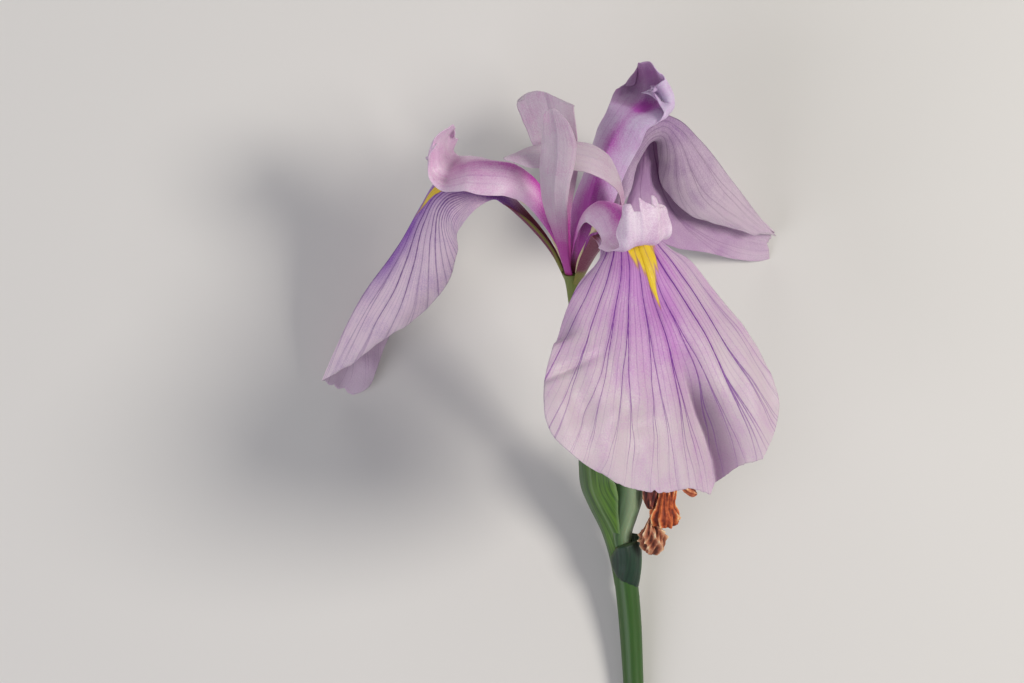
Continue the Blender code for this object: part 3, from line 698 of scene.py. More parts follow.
left_fall = {
    "azimuth": LEFT, "calm": 24.0, "rounding": 0.92, "slant": 0.1, "seed": 2.0, "wavy": 0.02,
    "midline": [(1.6, 0, -3.2), (5.5, 0, 4.6), (9.7, 0, 9.8), (14.5, 0, 14.4), (19, 0, 18),
                (24, 0, 20.6), (28.5, 0, 21.4), (32.3, 0, 21), (35.5, 0, 19), (40.3, 0, 12),
                (45, 0, 1.9), (55.9, 0, -16.4), (61.5, 0, -28.8), (66.6, 0, -41.5),
                (68.8, 0, -47.5)],
    "half_width": [(0, 1, 1), (0.1, 2.3, 1.6), (0.2, 3.6, 1.6), (0.24, 4.5, 1.3),
                   (0.265, 5.5, 1.0), (0.29, 6.5, 4.5), (0.32, 7.6, 9.5), (0.37, 9.4, 13.2),
                   (0.42, 11, 14.8), (0.5, 14, 16), (0.6, 18, 17.5), (0.7, 17, 16.5),
                   (0.8, 14.5, 13), (0.92, 14, 8), (1, 14.5, 7)],
    "droop": [(0, 0, -25, -30, -70), (0.2, -10, -20, -20, -60), (0.25, -20, 0, 10, 30),
              (0.3, -30, 20, 30, 80), (0.36, -25, 30, 33, 95), (0.42, -10, 42, 35, 102),
              (0.5, 5, 62, 35, 108), (0.65, 20, 65, 35, 110), (0.8, 25, 75, 30, 100),
              (1, 45, 80, 25, 85)],
    "tip_cut": nicks(4.0, [(-0.72, 0.16, 1.0), (-0.4, 0.14, 0.7), (-0.1, 0.12, 0.6)]),
    "cut_from": 0.88, "relief": left_relief,
    "numbers": fan_numbers(0.06, [(0, 0.5), (0.36, 1.0), (0.45, 1.6), (0.6, 3.0), (0.8, 7),
                                  (1, 15)]),
    "tint": fall_tint(0.14, [(-2, 20), (-1.4, 44), (-0.7, 51), (0.1, 57), (0.9, 53), (1.6, 48),
                             (2.2, 42), (2.6, 20)], 0.85, 0.1, 0.08),
}


def back_tint(across, share, flat, reach):
    """Colour the back fall, with painted shade: deeper blush inside its fold and along the strip
    below that.
    """
    blush, gold, stain = fall_tint(0.1, [(0, 0)], 0.0, 0.3)(across, share, flat, reach)
    inside = step(0.05, 0.5, across) * (1 - step(0.5, 0.85, share))
    strip = step(0.3, 0.6, across) * step(0.6, 0.75, share) * (1 - 0.7 * step(0.9, 1.0, share))
    return np.clip(blush + 0.75 * inside + 0.65 * strip, 0, 1), gold, stain


def back_relief(across, share, flat, reach):
    """Ruffle the back fall's margins and crease its tip."""
    crease = -1.2 * step(0.85, 1.0, share) * np.exp(-np.abs(flat - 1) / 2.5)
    return 0.8 * ruffles(5.0, across, share, 0.5, (0.35, 0.6), 1.5) + crease


back_fall = {
    "azimuth": BACK, "calm": 30.0, "rounding": 0.93, "seed": 3.0, "wavy": 0.012,
    "midline": [(1.6, 0, -3.2), (7.3, 0, 8), (12.5, 0, 17.5), (18, 0, 27), (24, 0, 33.2),
                (29, 0, 34.4), (33.5, 0, 32), (42.1, 0, 23), (54.7, 0, 6.0), (62.6, -0.4, -4.8),
                (68.8, -1.6, -12.2)],
    "half_width": [(0, 1, 1), (0.1, 2.3, 2.3), (0.22, 4, 4.5), (0.3, 4.6, 8), (0.36, 6.5, 13),
                   (0.42, 8.5, 20.5), (0.5, 13.5, 27.5), (0.58, 17.5, 28.5), (0.66, 18.5, 28),
                   (0.78, 13.5, 23.5), (0.88, 8, 17), (1, 4.5, 9)],
    "droop": [(0, 0, -25, 0, -25), (0.2, 0, 20, -10, -20), (0.28, 40, 110, 25, 55),
              (0.36, 50, 150, 40, 68), (0.44, 45, 158, 48, 85), (0.52, 40, 158, 58, 100),
              (0.6, 38, 152, 60, 108), (0.75, 35, 128, 60, 112), (0.88, 35, 105, 60, 105),
              (1, 25, 70, 60, 90)],
    "tip_cut": nicks(6.0, [(0.12, 0.2, 3.4), (0.6, 0.1, 0.8), (1.0, 0.62, -7.0), (-1.0, 0.7, 2.0)]),
    "cut_from": 0.84, "relief": back_relief,
    "numbers": fan_numbers(0.12, [(0, 1), (0.36, 1), (0.5, 1.6), (0.7, 2.6), (1, 4)]),
    "tint": back_tint,
}

for name, node, plan, strength, face in (
        ("front_fall_petal", "fall_front", front_fall, 1.0, fall_face),
        ("left_fall_petal", "fall_left", left_fall, 0.6, left_face),
        ("back_fall_petal", "fall_back", back_fall, 0.45, shaded_back_face)):
    fall = new_blade(name, plan, 130, 230, 0.42, strength, [face, fall_under])
    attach(fall, "root")
    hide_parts(node)


# Style arms
# Three petal-like arms that arch over the hafts like gutters upside down, magenta along the
# ridge and pale at the sides. Each ends in a thin crest that turns up, pleated and toothed.
FRONT_ARM, LEFT_ARM, BACK_ARM = -66.0, 165.0, 50.0  # degrees round the flower's axis
arm_face = petal_tissue("Style arm outer face", "#E2CEDC", "#BC46AA", "#7E3092", "#A82C5C",
                        "#C0503C", roughness=0.42, streaks=0.28)
# The inner face has a darker stain than the outer face: painted shade under the arm.
arm_inner = petal_tissue("Style arm inner face", "#E4D2E0", "#A0469A", "#6E3A80", "#6E1838",
                         "#8A4038", roughness=0.48, streaks=0.3)
# The back arm's tissue is a little bluer than the others, on both its faces: painted cool shade.
shaded_bluish_arm = petal_tissue("Style arm face, bluish painted shade", "#D2C4DC", "#B44CB0", "#7E3092", "#A82C5C",
                          "#C0503C", roughness=0.42, streaks=0.28)
ARM_DROOP = [(0, 0, 10, 0, 10), (0.12, 15, 50, 15, 50), (0.25, 20, 80, 20, 80),
             (0.5, 15, 70, 15, 70), (0.68, 5, 30, 5, 30), (0.78, 0, 15, 0, 15),
             (1, -10, -40, -10, -40)]


def arm_tint(ridge_share, hollow):
    """Give the function that colours an arm: magenta along its ridge and at its base, pale at its
    sides, a rosy stain at its foot, and, as strongly as asked for, painted shade in the hollow of
    its crest round painted magenta light shining through it."""
    def tint(across, share, flat, reach):
        ridge = ridge_share * (0.55 * np.exp(-(across / 0.5) ** 2)
                               + 0.45 * np.exp(-(across / 0.2) ** 2)) * (1 - step(0.6, 0.8, share))
        foot = 1.1 - step(0.12, 0.5, share)
        # Painted shade darkens the crest's hollow and painted light shining through brightens its
        # middle; both go into the blush and into the stain, which goes below nought.
        dusk = hollow * step(0.7, 0.75, share) * step(-0.5, -0.2, across)
        painted_glow = 0.9 * hollow * np.exp(-((share - 0.76) / 0.05) ** 2 - ((across + 0.1) / 0.25) ** 2)
        blush = np.clip(ridge + foot + painted_glow + 0.4 * dusk + 0.06, 0, 1)
        stain = 0.95 * (1 - step(0.02, 0.2, share)) - (dusk - 0.6 * painted_glow)
        return blush, np.full_like(share, -1.0), stain
    return tint


def crest_relief(seed):
    """Give the function that pleats a crest and ruffles an arm's margin."""
    def relief(across, share, flat, reach):
        pleats = 0.75 * step(0.7, 0.82, share) * np.sin(flat * 0.9 + seed) * (0.6 + 0.4 * np.cos(
            flat * 0.6 + 2 * seed))
        frill = 0.25 * step(0.85, 1.0, share) * edge_waves(seed, across * 0.35)
        ruffle = 0.35 * step(0.6, 1.0, np.abs(across)) * edge_waves(seed + np.sign(across), share)
        return pleats + frill + ruffle
    return relief


front_arm = {
    "azimuth": FRONT_ARM, "calm": 4.0, "rounding": 0.97, "seed": 4.0, "wavy": 0.02,
    "droop": ARM_DROOP[:3] + [(0.5, 15, 75, 15, 70), (0.6, 25, 92, 10, 50), (0.68, 28, 92, 5, 30),
                              (0.74, 12, 50, 0, 15), (0.79, 0, 0, 0, 5), (0.86, -10, -55, -8, -35),
                              (1, -15, -75, -10, -42)],
    "midline": [(0.6, 0, -2.5), (2.6, 0, 9), (5.5, 0, 17), (10, 0, 23.3), (15.5, 0, 27.5),
                (21.5, 0, 29.6), (27, 0, 29.6), (31.5, 0, 27.8), (35.4, 0, 25.6),
                (38.2, 0, 26.8), (39.6, 0, 30.5), (38.9, 0, 35), (36.4, 0, 39)],
    "half_width": [(0, 1.2, 1.2), (0.12, 2, 2), (0.3, 5, 5), (0.5, 6.8, 7), (0.6, 8.2, 8),
                   (0.66, 9.6, 7.8), (0.71, 9.2, 7.6), (0.75, 7.2, 7.4), (0.79, 5.2, 8),
                   (0.86, 6.8, 9.6), (0.93, 6.6, 9.8), (1, 5.8, 9)],
    "tip_cut": [(-1, 2.6), (-0.85, 1.2), (-0.75, 0.7), (-0.5, 1.1), (-0.42, 3.2), (-0.03, 3.6),
                (0.05, 0), (0.15, 0.8), (0.5, 2.5), (0.56, 0), (0.63, 0.7), (0.68, 0.4),
                (0.84, 1.0), (0.87, 0.9), (0.94, 1.4), (1, 2.2)],
    "cut_from": 0.8, "relief": crest_relief(1.3),
}
left_arm = {
    "azimuth": LEFT_ARM, "calm": 4.0, "rounding": 0.88, "seed": 5.0, "wavy": 0.02,
    "roll": [(0, 0), (0.66, 0), (0.8, -10), (0.9, -16), (1, -20)],
    "droop": ARM_DROOP,
    "midline": [(0.6, 0, -2.5), (2.8, 0, 9), (5.8, 0, 18), (10.2, 0, 25), (15.2, 0, 28),
                (21, 0, 28), (26, 0, 27.2), (29.5, 0, 25.5), (32.3, 0, 24), (34.4, 0, 25.2),
                (35, 0, 29), (33.8, 0, 34), (30.8, 0, 37.6)],
    "half_width": [(0, 1.2, 1.2), (0.12, 1.4, 1.7), (0.3, 3.8, 4.8), (0.5, 7.5, 9),
                   (0.66, 8.5, 10), (0.72, 9, 9), (0.78, 9, 6.6), (0.84, 9, 5.4), (0.9, 9, 6.6),
                   (1, 7.5, 8)],
    "tip_cut": [(-1, 4.6), (-0.7, 2.4), (-0.5, 1.0), (-0.42, 1.2), (-0.1, 0.4),
                (0.2, 1.6), (0.3, 1.4), (0.6, 3.6), (0.84, 5.0), (0.9, 2.2), (1, 2.4)],
    "cut_from": 0.75, "relief": crest_relief(2.1),
}
# The near half of its crest is folded over.
back_arm = {
    "azimuth": BACK_ARM, "calm": 4.0, "rounding": 0.9, "seed": 6.0, "wavy": 0.02,
    "midline": [(0.6, 0, -2.5), (2.4, 0, 5), (5, 0, 13), (8.5, 0, 21), (12.6, 0, 28),
                (17.3, 0, 33), (22, 0, 35.6), (26, 0, 36.2), (28.8, 0, 37.2), (30.2, 0, 40),
                (29.6, 0, 43.8), (27, 0, 48.6)],
    "half_width": [(0, 1.2, 1.2), (0.12, 2.6, 5), (0.3, 5.4, 10), (0.5, 6.4, 10), (0.6, 7, 8),
                   (0.68, 7.4, 7), (0.72, 9.4, 7.6), (0.78, 14, 8.6), (0.84, 16, 8.8),
                   (0.92, 16.5, 8), (1, 14, 6)],
    "droop": [(0, 0, 10, 0, 10), (0.12, 10, 35, 5, 25), (0.25, 10, 40, 10, 45),
              (0.5, 10, 45, 15, 55), (0.62, 5, 30, 5, 30), (0.69, 0, 5, 0, 15),
              (0.73, -2, -120, 0, 5), (0.8, -4, -150, 0, -15), (1, -6, -156, -5, -30)],
    "fold": [(0, 0, 4), (0.62, 0, 8), (0.68, 7, 10), (0.72, 8, 10.8), (0.78, 7.8, 10.8),
             (0.9, 6.6, 9.6), (1, 4.6, 7.6)],
    "tip_cut": [(-1, 3.4), (-0.8, 1.6), (-0.7, 2.2), (-0.5, 1.4), (-0.3, 0.6), (-0.2, 0),
                (0.2, 0.4), (0.3, 0.2), (0.5, 1.4), (0.75, 4), (1, 8)],
    "cut_from": 0.6, "relief": crest_relief(0.4),
}
# Each arm: its name, node and plan, its ridge's magenta, how strong the painted shade and painted
# light in its crest's hollow are, and its faces.
for name, node, plan, ridge, hollow, faces in (
        ("front_style_arm", "style_arm_front", front_arm, 0.95, 0.0, [arm_face, arm_inner]),
        ("left_style_arm", "style_arm_left", left_arm, 0.7, 0.0, [arm_face, arm_inner]),
        ("back_style_arm", "style_arm_back", back_arm, 0.6, 0.75, [shaded_bluish_arm])):
    plan.update({"numbers": fan_numbers(0.2, [(0, 1), (0.6, 1.2), (1, 1.6)]),
                 "tint": arm_tint(ridge, hollow)})
    arm = new_blade(name, plan, 90, 190, 0.5, 0.14, faces)
    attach(arm, "root")
    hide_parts(node)


# Inner petals, called standards
# Three small plain petals between the falls. Two stand up, one behind the other, and the third
# bends over to the left. They are pale, with a rosy foot and faint veins.
standard_face = petal_tissue("Standard petal tissue", "#C2B3BC", "#AC3C96", "#8A5AA0", "#A02A60",
                             "#A85048", streaks=0.3)


def standard_tint(across, share, flat, reach):
    """Colour a standard: pale, with a magenta foot."""
    blush = 1 - step(0.18, 0.56, share) + 0.05
    stain = 0.9 * (1 - step(0.02, 0.12, share))
    return blush, np.full_like(share, -1.0), stain


def standard_relief(seed):
    """Give the function that folds a standard a little along its middle and waves its margins."""
    def relief(across, share, flat, reach):
        fold = -0.25 * np.exp(-np.abs(flat) / 0.8) * step(0.2, 0.5, share)
        return fold + 0.45 * ruffles(seed, across, share, 0.4, (0.3, 0.6), 1.0)
    return relief


left_standard = {
    "azimuth": -120.0, "calm": 6.0, "rounding": 0.93, "seed": 7.0, "wavy": 0.03,
    "midline": [(1.2, 0, -2.5), (4.1, 0, 5), (6.4, 0.2, 12), (8.4, -0.2, 21), (9.2, 0, 29),
                (8.6, 0.4, 37), (8.6, 0.2, 43), (9.6, -0.6, 50)],
    "half_width": [(0, 1, 1), (0.12, 1.2, 1.2), (0.3, 2.6, 1.9), (0.42, 3.8, 2.8),
                   (0.55, 4.6, 3.4), (0.72, 4.8, 4.2), (0.84, 4.2, 4.4), (0.9, 3.6, 3.6),
                   (1, 3, 2)],
    "droop": [(0, 0, -30, 0, -30), (0.5, 0, -20, 0, -20), (0.85, 5, 15, 0, -30), (1, 10, 20, 0, 0)],
}
back_standard = {
    "azimuth": 120.0, "calm": 6.0, "rounding": 0.97, "seed": 8.0, "wavy": 0.03,
    "tip_cut": [(-1, 4.6), (-0.6, 2.8), (-0.2, 1.4), (0.3, 0.2), (0.8, 0), (0.95, 0.3), (1, 1.2)],
    "cut_from": 0.8, "roll": [(0, 0), (0.4, 0), (0.7, -50), (1, -64)],
    "midline": [(1.2, 0, -2.5), (3.5, 0, 5), (5, 0, 14), (6.2, 0, 24), (8, 0.6, 34),
                (11, 1.2, 42), (13, 1.4, 46)],
    "half_width": [(0, 1.0, 1.0), (0.12, 1.2, 1.2), (0.35, 2.2, 2.2), (0.55, 4.2, 4),
                   (0.72, 6, 6), (0.88, 7.2, 8), (1, 7.4, 8.8)],
    "droop": [(0, 0, -30, 0, -30), (0.5, 0, -20, 0, -20), (1, 0, 10, 0, -10)],
}
right_standard = {
    "azimuth": 0.0, "calm": 6.0, "rounding": 0.9, "seed": 9.0, "wavy": 0.03,
    "midline": [(1.2, 0, -2.5), (5.3, 0, 6), (9.8, 0, 12.7), (12.2, 0, 19.6), (10.9, 0, 26),
                (7.6, -0.5, 30.4), (4.3, -1, 32.6), (-0.5, -1.4, 33.9),
                (-5.5, -1.4, 33.9), (-13, -1.2, 33.2), (-17.3, -1, 32.4)],
    "half_width": [(0, 1.0, 1.0), (0.12, 1.2, 1.2), (0.3, 1.8, 1.8), (0.45, 2.8, 2.8),
                   (0.6, 4, 4), (0.75, 4, 4), (0.9, 3.2, 3.2), (1, 1.4, 1.4)],
    "roll": [(0, 0), (0.4, 0), (0.6, -28), (1, -28)],
    "droop": [(0, 0, -20, 0, -20), (1, 0, -20, 0, -20)],
}
for name, node, plan in (("left_standard_petal", "standard_left", left_standard),
                         ("back_standard_petal", "standard_back", back_standard),
                         ("right_standard_petal", "standard_right", right_standard)):
    plan.update({"numbers": fan_numbers(0.3, [(0, 1), (1, 1.4)]), "tint": standard_tint,
                 "relief": standard_relief(plan["seed"])})
    standard = new_blade(name, plan, 44, 150, 0.42, 0.12, [standard_face])
    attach(standard, "root")
    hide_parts(node)


# Stamens
# One under each style arm, out of the rain: a thin pale filament grown on the haft and a long
# plump anther, which is dry and powdery with pollen, so it has no shine.

# The pollen is drawn in grains of 0.4 mm, where the real ones are about 0.05 mm.
POLLEN_GRAINS = 2500.0
pollen, tree, shader = new_material("Powdery anther", {"Roughness": 0.85})
dust = add(tree, "TexNoise", {"Vector": add(tree, "TexCoord", out=3), "Scale": POLLEN_GRAINS,
                              "Detail": 3.0})
colour = add(tree, "MixRGB", (dust, linear("#CDB787"), linear("#EFE3BE")))
tree.links.new(colour, shader.inputs["Base Color"])
grains = add(tree, "Bump", {"Height": dust, "Distance": 0.00015})
tree.links.new(grains, shader.inputs["Normal"])

# The radius at shares of the length, and lines as (outwards, up), all in mm.
STAMEN_RADII = [(0, 0.27), (0.1, 0.45), (0.62, 0.45), (0.68, 0.9), (0.8, 1.0), (0.93, 0.9),
                (1, 0.3)]
STAMEN_ROWS = 60
low_stamen = [(1.85, 0.8), (3.6, 5.2), (6.2, 10.3), (9.4, 15.3), (12.6, 18.6), (13.6, 19.5),
              (16.5, 21.6), (19.8, 23.2), (20.8, 23.5)]
steep_stamen = [(1.85, 0.8), (3.9, 5.2), (6.8, 11.2), (9.8, 17.8), (12.6, 23.6), (13.5, 24.8),
                (16, 28), (18.6, 30.8), (19.4, 31.5)]
for name, node, azimuth, line in (("front_stamen", "stamen_front", FRONT_ARM, low_stamen),
                                  ("left_stamen", "stamen_left", LEFT_ARM, low_stamen),
                                  ("back_stamen", "stamen_back", 46.0, steep_stamen)):
    a = math.radians(azimuth)
    middle, lengths = measured_line([(out * math.cos(a), out * math.sin(a), up)
                                     for out, up in line])
    shares = np.linspace(0, 1, STAMEN_ROWS + 1)
    points = read_line(middle, lengths, shares * lengths[-1])
    stamen = new_rod(name, 24, STAMEN_ROWS, points, through(STAMEN_RADII, shares)[:, 0])
    stamen.data.materials.append(pollen)
    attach(stamen, "root")
    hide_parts(node)


# Bracts and sheath
# Two firm green leaves that wrap the top of the stem, where the withered bloom came out, and a
# short sheath round their foot, coloured dark as painted shade. Fine ribs run up them, and their
# edges are thin and pale.
RIBS, STREAKS = (2.2, 0.06, 0.0), (0.5, 0.03, 0.0)  # for each mm across and along a leaf


# Leaf skin: firm and ribbed, a dull dark green streaked with lighter green, so little shine.
def leaf_skin(name, dark, light, pale, fresh):
    """Make a skin streaked from dark to light, with colours for pale parts and a fresh side."""
    material, tree, shader = new_material(name, {
        "Roughness": 0.5, "Subsurface Weight": 0.1, "Subsurface Scale": 0.001})
    place, tint = (add(tree, "Attribute", attribute_name=kept, out=1) for kept in ("flat", "tint"))
    paleness, freshness = add(tree, "SeparateXYZ", (tint,)).node.outputs[:2]
    ribs = add(tree, "VectorMath", (place, RIBS), operation="MULTIPLY")
    ribs = add(tree, "TexNoise", {"Vector": ribs, "Scale": 1.0, "Detail": 3.0})
    broad = add(tree, "VectorMath", (place, STREAKS), operation="MULTIPLY")
    broad = add(tree, "TexNoise", {"Vector": broad, "Scale": 1.0, "Detail": 2.0})
    mixed = add(tree, "Math", (ribs, broad), operation="ADD")
    mixed = add(tree, "MapRange", (mixed, 0.78, 1.2, 0.12, 1.0))
    streaked = add(tree, "Math", (freshness, mixed), operation="MULTIPLY")
    colour = linear(dark)
    for amount, shade in ((mixed, light), (streaked, fresh), (paleness, pale)):
        colour = add(tree, "MixRGB", (amount, colour, linear(shade)))
    tree.links.new(colour, shader.inputs["Base Color"])
    bump = add(tree, "Bump", {"Height": ribs, "Distance": 0.0002, "Strength": 0.6})
    tree.links.new(bump, shader.inputs["Normal"])
    return material


bract_face = leaf_skin("Bract leaf skin", "#1A3414", "#2F5620", "#92A684", "#5A8028")
# The sheath's skin is darker than the bracts': painted shade round their foot.
sheath_face = leaf_skin("Sheath skin, painted shade", "#10241A", "#203C2A", "#6A7A4A", "#4E7E3E")


def beside_stalk(azimuth, places):
    """Turn (distance from the stalk's middle line, height) into a midline on that azimuth."""
    a = math.radians(azimuth)
    midline = []
    for away, height in places:
        x, y = (np.interp(-height, -stalk_line[:, 2], stalk_line[:, k]) for k in (0, 1))
        midline.append((x * math.cos(a) + y * math.sin(a) + away,
                        y * math.cos(a) - x * math.sin(a), height))
    return midline


def leaf_tint(rib_place, fresh_from, silver, silver_at):
    """Give the function that colours a leaf: pale edges, a pale rib at a place in mm, a fresh
    green side from a place across, and a keel that is so silvery, at another."""
    def tint(across, share, flat, reach):
        pale = step(0.88, 1.0, np.abs(across)) * 0.35 + step(0.93, 1.0, share) * 0.35
        pale = pale + 0.35 * np.exp(-((flat - rib_place) / 0.3) ** 2)
        pale = pale + silver * np.exp(-((across - silver_at) / 0.25) ** 2)
        fresh = step(fresh_from, fresh_from + 0.3, across)
        return np.clip(pale, 0, 1), fresh, np.zeros_like(share)
    return tint


def leaf_relief(rib_place):
    """Give the function that raises a leaf's rib, the keel along its middle and faint ridges."""
    def relief(across, share, flat, reach):
        rib = 0.3 * np.exp(-np.abs(flat - rib_place) / 0.5)
        return rib + 0.25 * np.exp(-np.abs(flat) / 0.8) - 0.05 * np.cos(flat * 3.0)
    return relief


left_bract = {
    "azimuth": 180.0, "calm": 10.0, "rounding": 0.75, "seed": 10.0,
    "midline": beside_stalk(180.0, [(3.0, -88.5), (3.3, -81.5), (4.3, -73.8), (6.2, -67.2),
                                    (7.4, -61.7), (7.0, -55.8), (6.4, -51)]),
    "half_width": [(0, 0.8, 0.8), (0.1, 2.6, 2.6), (0.22, 6.2, 4), (0.45, 9, 7.4), (0.65, 11, 10.8),
                   (0.8, 10, 11.5), (1, 7, 10)],
    "droop": [(0, 0, -90, 0, -90), (0.3, -20, -95, -20, -95), (0.6, -35, -90, -35, -90),
              (1, -30, -60, -30, -60)],
}
right_bract = {
    "azimuth": 0.0, "calm": 10.0, "rounding": 0.75, "seed": 11.0,
    "midline": beside_stalk(0.0, [(3.3, -85), (3.2, -80), (3.6, -74.5), (5.7, -70), (7.7, -65.6),
                                  (8.8, -61.7), (9.4, -55.5), (9.2, -50)]),
    "half_width": [(0, 4.2, 3.2), (0.3, 6.4, 3.6), (0.6, 9.2, 5.2), (0.8, 9, 5), (1, 6, 4)],
    "droop": [(0, 0, -75, 0, -55), (0.4, -15, -115, -15, -70), (1, -20, -95, -20, -60)],
}
sheath = {
    "azimuth": 0.0, "calm": 5.0, "rounding": 0.93, "seed": 12.0,
    "midline": beside_stalk(0.0, [(3.1, -88.5), (3.9, -85.8), (4.7, -82.6), (5.2, -79.5),
                                  (5.4, -75.5)]),
    "half_width": [(0, 4.6, 3.2), (0.12, 8, 5.6), (0.3, 10.4, 7.6), (0.6, 11.4, 9.6),
                   (1, 8.4, 7.5)],
    "droop": [(0, 0, -150, 0, -80), (0.25, 0, -160, 0, -90), (0.5, 0, -160, 0, -105),
              (1, 0, -110, 0, -80)],
}
OFF_THE_LEAF = -20.0
for name, node, plan, skin, rib, fresh_from, silver, silver_at in (
        ("left_bract_leaf", "bract_left", left_bract, bract_face, 4.4, 0.1, 0.3, 0.0),
        ("right_bract_leaf", "bract_right", right_bract, bract_face, -3.4, 0.9, 0.8, -0.45),
        ("sheath_leaf", "stem_sheath", sheath, sheath_face, OFF_THE_LEAF, -0.25, 0.0, 0.0)):
    plan.update({"numbers": fan_numbers(0.1, [(0, 1), (1, 1)]), "relief": leaf_relief(rib),
                 "tint": leaf_tint(rib, fresh_from, silver, silver_at)})
    leaf = new_blade(name, plan, 60, 90, 0.45, 0.0, [skin])
    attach(leaf, "root")
    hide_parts(node)


# Withered bloom
# The flower that opened first, dried and crumpled. Its petals have shrunk to papery brown folds
# with painted highlights on their ridges: a dark lobe, an orange clump and a curled ball hanging
# on a twisted neck.

# Dried petal: papery and brittle, matt, with painted shade down in its folds and painted
# highlights on its ridges. It is blotched every 2.4 mm and grained every 0.4 mm.
BLOTCHES, PAPER_GRAIN = 420.0, 2600.0
dry, tree, shader = new_material("Dry papery petal", {
    "Roughness": 0.7, "Subsurface Weight": 0.1, "Subsurface Scale": 0.001})
tint = add(tree, "Attribute", attribute_name="tint", out=1)
fold_height, orange, dark = add(tree, "SeparateXYZ", (tint,)).node.outputs
spot = add(tree, "TexCoord", out=3)
cloud = add(tree, "TexNoise", {"Vector": spot, "Scale": BLOTCHES, "Detail": 4.0})
grain = add(tree, "TexNoise", {"Vector": spot, "Scale": PAPER_GRAIN, "Detail": 2.0})
lit = add(tree, "MapRange", (cloud, 0.3, 0.7, -0.22, 0.22))
# Painted light: the folds' height lightens the ridges and darkens the valleys, over the blotches.
lit = add(tree, "Math", (lit, fold_height), operation="ADD")


def dried_shades(*hexes):
    """Colour the folds from their valleys to their ridges, as painted shade and painted highlight.
    """
    shade = add(tree, "ValToRGB", (lit,))
    ramp = shade.node.color_ramp
    ramp.elements[0].position, ramp.elements[1].position = 0.12, 0.85
    ramp.elements[0].color, ramp.elements[1].color = linear(hexes[0]), linear(hexes[-1])
    for k, shade_hex in enumerate(hexes[1:-1]):
        ramp.elements.new(0.36 + 0.26 * k).color = linear(shade_hex)
    return shade


brown = dried_shades("#4E2418", "#96543A", "#C99470", "#EED6B0")
rusty = dried_shades("#6E2410", "#B04A1C", "#DC6E28", "#F2C488")
wine = dried_shades("#3C1414", "#5E2420", "#7E382C", "#C08A68")
colour = add(tree, "MixRGB", (orange, brown, rusty))
colour = add(tree, "MixRGB", (dark, colour, wine))
tree.links.new(colour, shader.inputs["Base Color"])
height = add(tree, "Math", (grain, 0.3, cloud), operation="MULTIPLY_ADD")
bump = add(tree, "Bump", {"Height": height, "Distance": 0.0005})
tree.links.new(bump, shader.inputs["Normal"])


def dry_folds(folds, twist, seed):
    """Give the function that says how far each place of a dried lobe stands out, from 0 to 1."""
    def height(turn, along):
        sway = 0.6 * np.sin(5 * along + seed) + 0.35 * np.sin(13 * along + 2 * seed)
        main = 1 - np.abs(np.sin(folds * turn / 2 + twist * along + sway)) ** 0.8
        bent = 1.6 * np.sin(7 * along + seed + np.cos(turn))
        second = 1 - np.abs(np.sin((folds + 3) * turn / 2 - 1.6 * twist * along + bent))
        fine = 0.5 + 0.5 * np.sin(46 * along + 3 * np.sin(3 * turn + seed))
        return 0.56 * main + 0.36 * second + 0.08 * fine
    return height


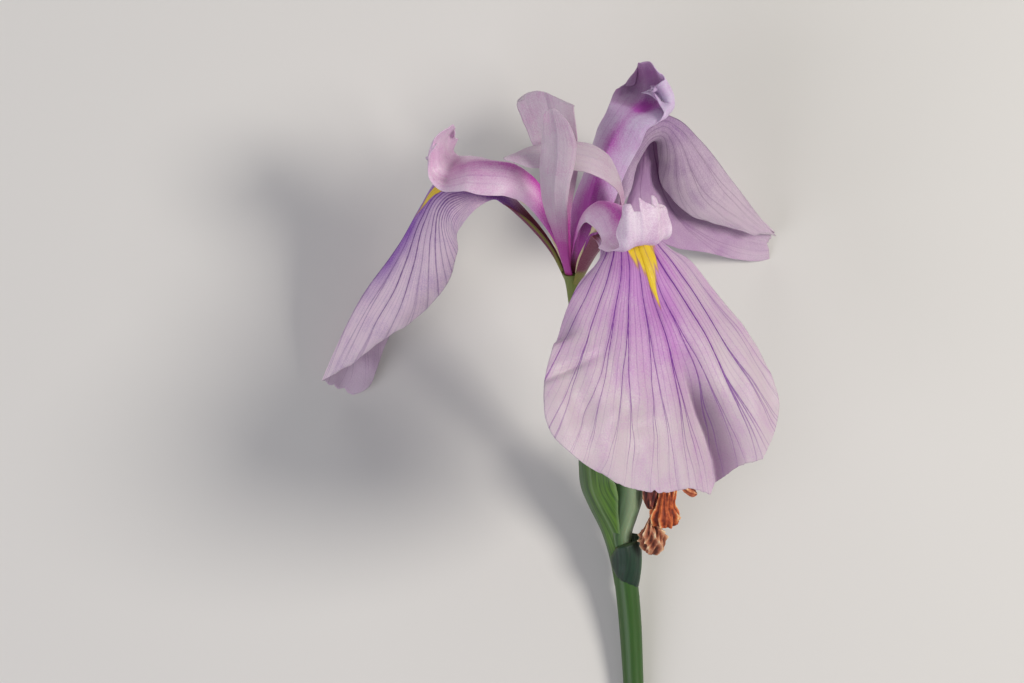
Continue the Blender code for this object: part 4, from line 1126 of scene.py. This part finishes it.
# Each lobe: its columns and rows, folds, twist, how deep they are, how orange and how dark it
# is, and its line as (x, y, z, radius) in mm.
LOBES = [
    (24, 60, 5, 1.0, 0.3, 0.2, 0.3,
     [(15.0, -5.0, -69.0, 0.8), (14.9, -4.0, -62.0, 0.8), (14.0, -3.0, -53.0, 0.9),
      (14.6, -2.6, -46.5, 1.0), (17.6, -3.2, -43.6, 1.1), (21.6, -4.6, -45.6, 1.4),
      (23.6, -5.8, -50.5, 1.9), (24.5, -6.4, -55.0, 1.5)]),
    (120, 170, 9, 0.8, 0.36, 0.85, 0.0,
     [(24.4, -6.2, -52.0, 0.8), (24.6, -6.8, -57.0, 2.5), (24.5, -7.1, -61.5, 2.6),
      (24.0, -7.2, -64.6, 3.2), (23.9, -7.3, -66.6, 4.5), (24.1, -7.3, -68.2, 4.4),
      (24.2, -7.3, -69.6, 2.9), (24.2, -7.3, -70.0, 0.4)]),
    (70, 80, 6, 1.2, 0.3, 0.0, 1.0,
     [(22.4, -5.0, -50.0, 0.9), (20.8, -5.4, -55.0, 1.5), (20.4, -5.8, -59.0, 2.3),
      (20.3, -6.0, -62.6, 2.3), (20.6, -6.0, -65.4, 1.5), (20.7, -6.0, -66.6, 0.3)]),
    (130, 170, 6, 4.4, 0.46, 0.1, 0.0,
     [(22.0, -7.4, -65.8, 0.9), (21.0, -7.8, -67.2, 0.9), (20.3, -8.2, -69.2, 1.4),
      (20.6, -8.5, -70.9, 3.3), (20.9, -8.6, -73.4, 4.3), (20.9, -8.6, -75.8, 3.7),
      (20.7, -8.6, -77.6, 2.1), (20.6, -8.6, -78.2, 0.3)]),
    (50, 60, 5, 1.0, 0.36, 0.5, 0.0,
     [(25.2, -6.4, -54.0, 1.0), (27.8, -6.6, -57.5, 1.2), (30.0, -6.8, -60.0, 1.5),
      (31.4, -6.9, -61.0, 1.2), (32.1, -6.9, -61.2, 0.3)]),
]
THINNEST = 0.15
lobes = []
for k, (columns, rows, folds, twist, depth, orange_share, dark_share, places) in enumerate(LOBES):
    knots = np.array(places)
    chords = np.r_[0, np.cumsum(np.linalg.norm(np.diff(knots[:, :3], axis=0), axis=1))]
    dried = through(np.c_[chords, knots], np.linspace(0, chords[-1], rows + 1))
    lobe = new_rod("withered_lobe_%d" % k, columns, rows, dried[:, :3],
                   np.maximum(dried[:, 3], THINNEST),
                   crumple=dry_folds(folds, twist, 1.7 * k + 0.4), depth=depth,
                   shares=(orange_share, dark_share))
    lobe.data.materials.append(dry)
    lobes.append(lobe)
bpy.ops.object.select_all(action="DESELECT")
for lobe in lobes:
    lobe.select_set(True)
withered = lobes[0]
bpy.context.view_layer.objects.active = withered
bpy.ops.object.join()
withered.name = "withered_flower"
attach(withered, "root")
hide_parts("withered_bloom")
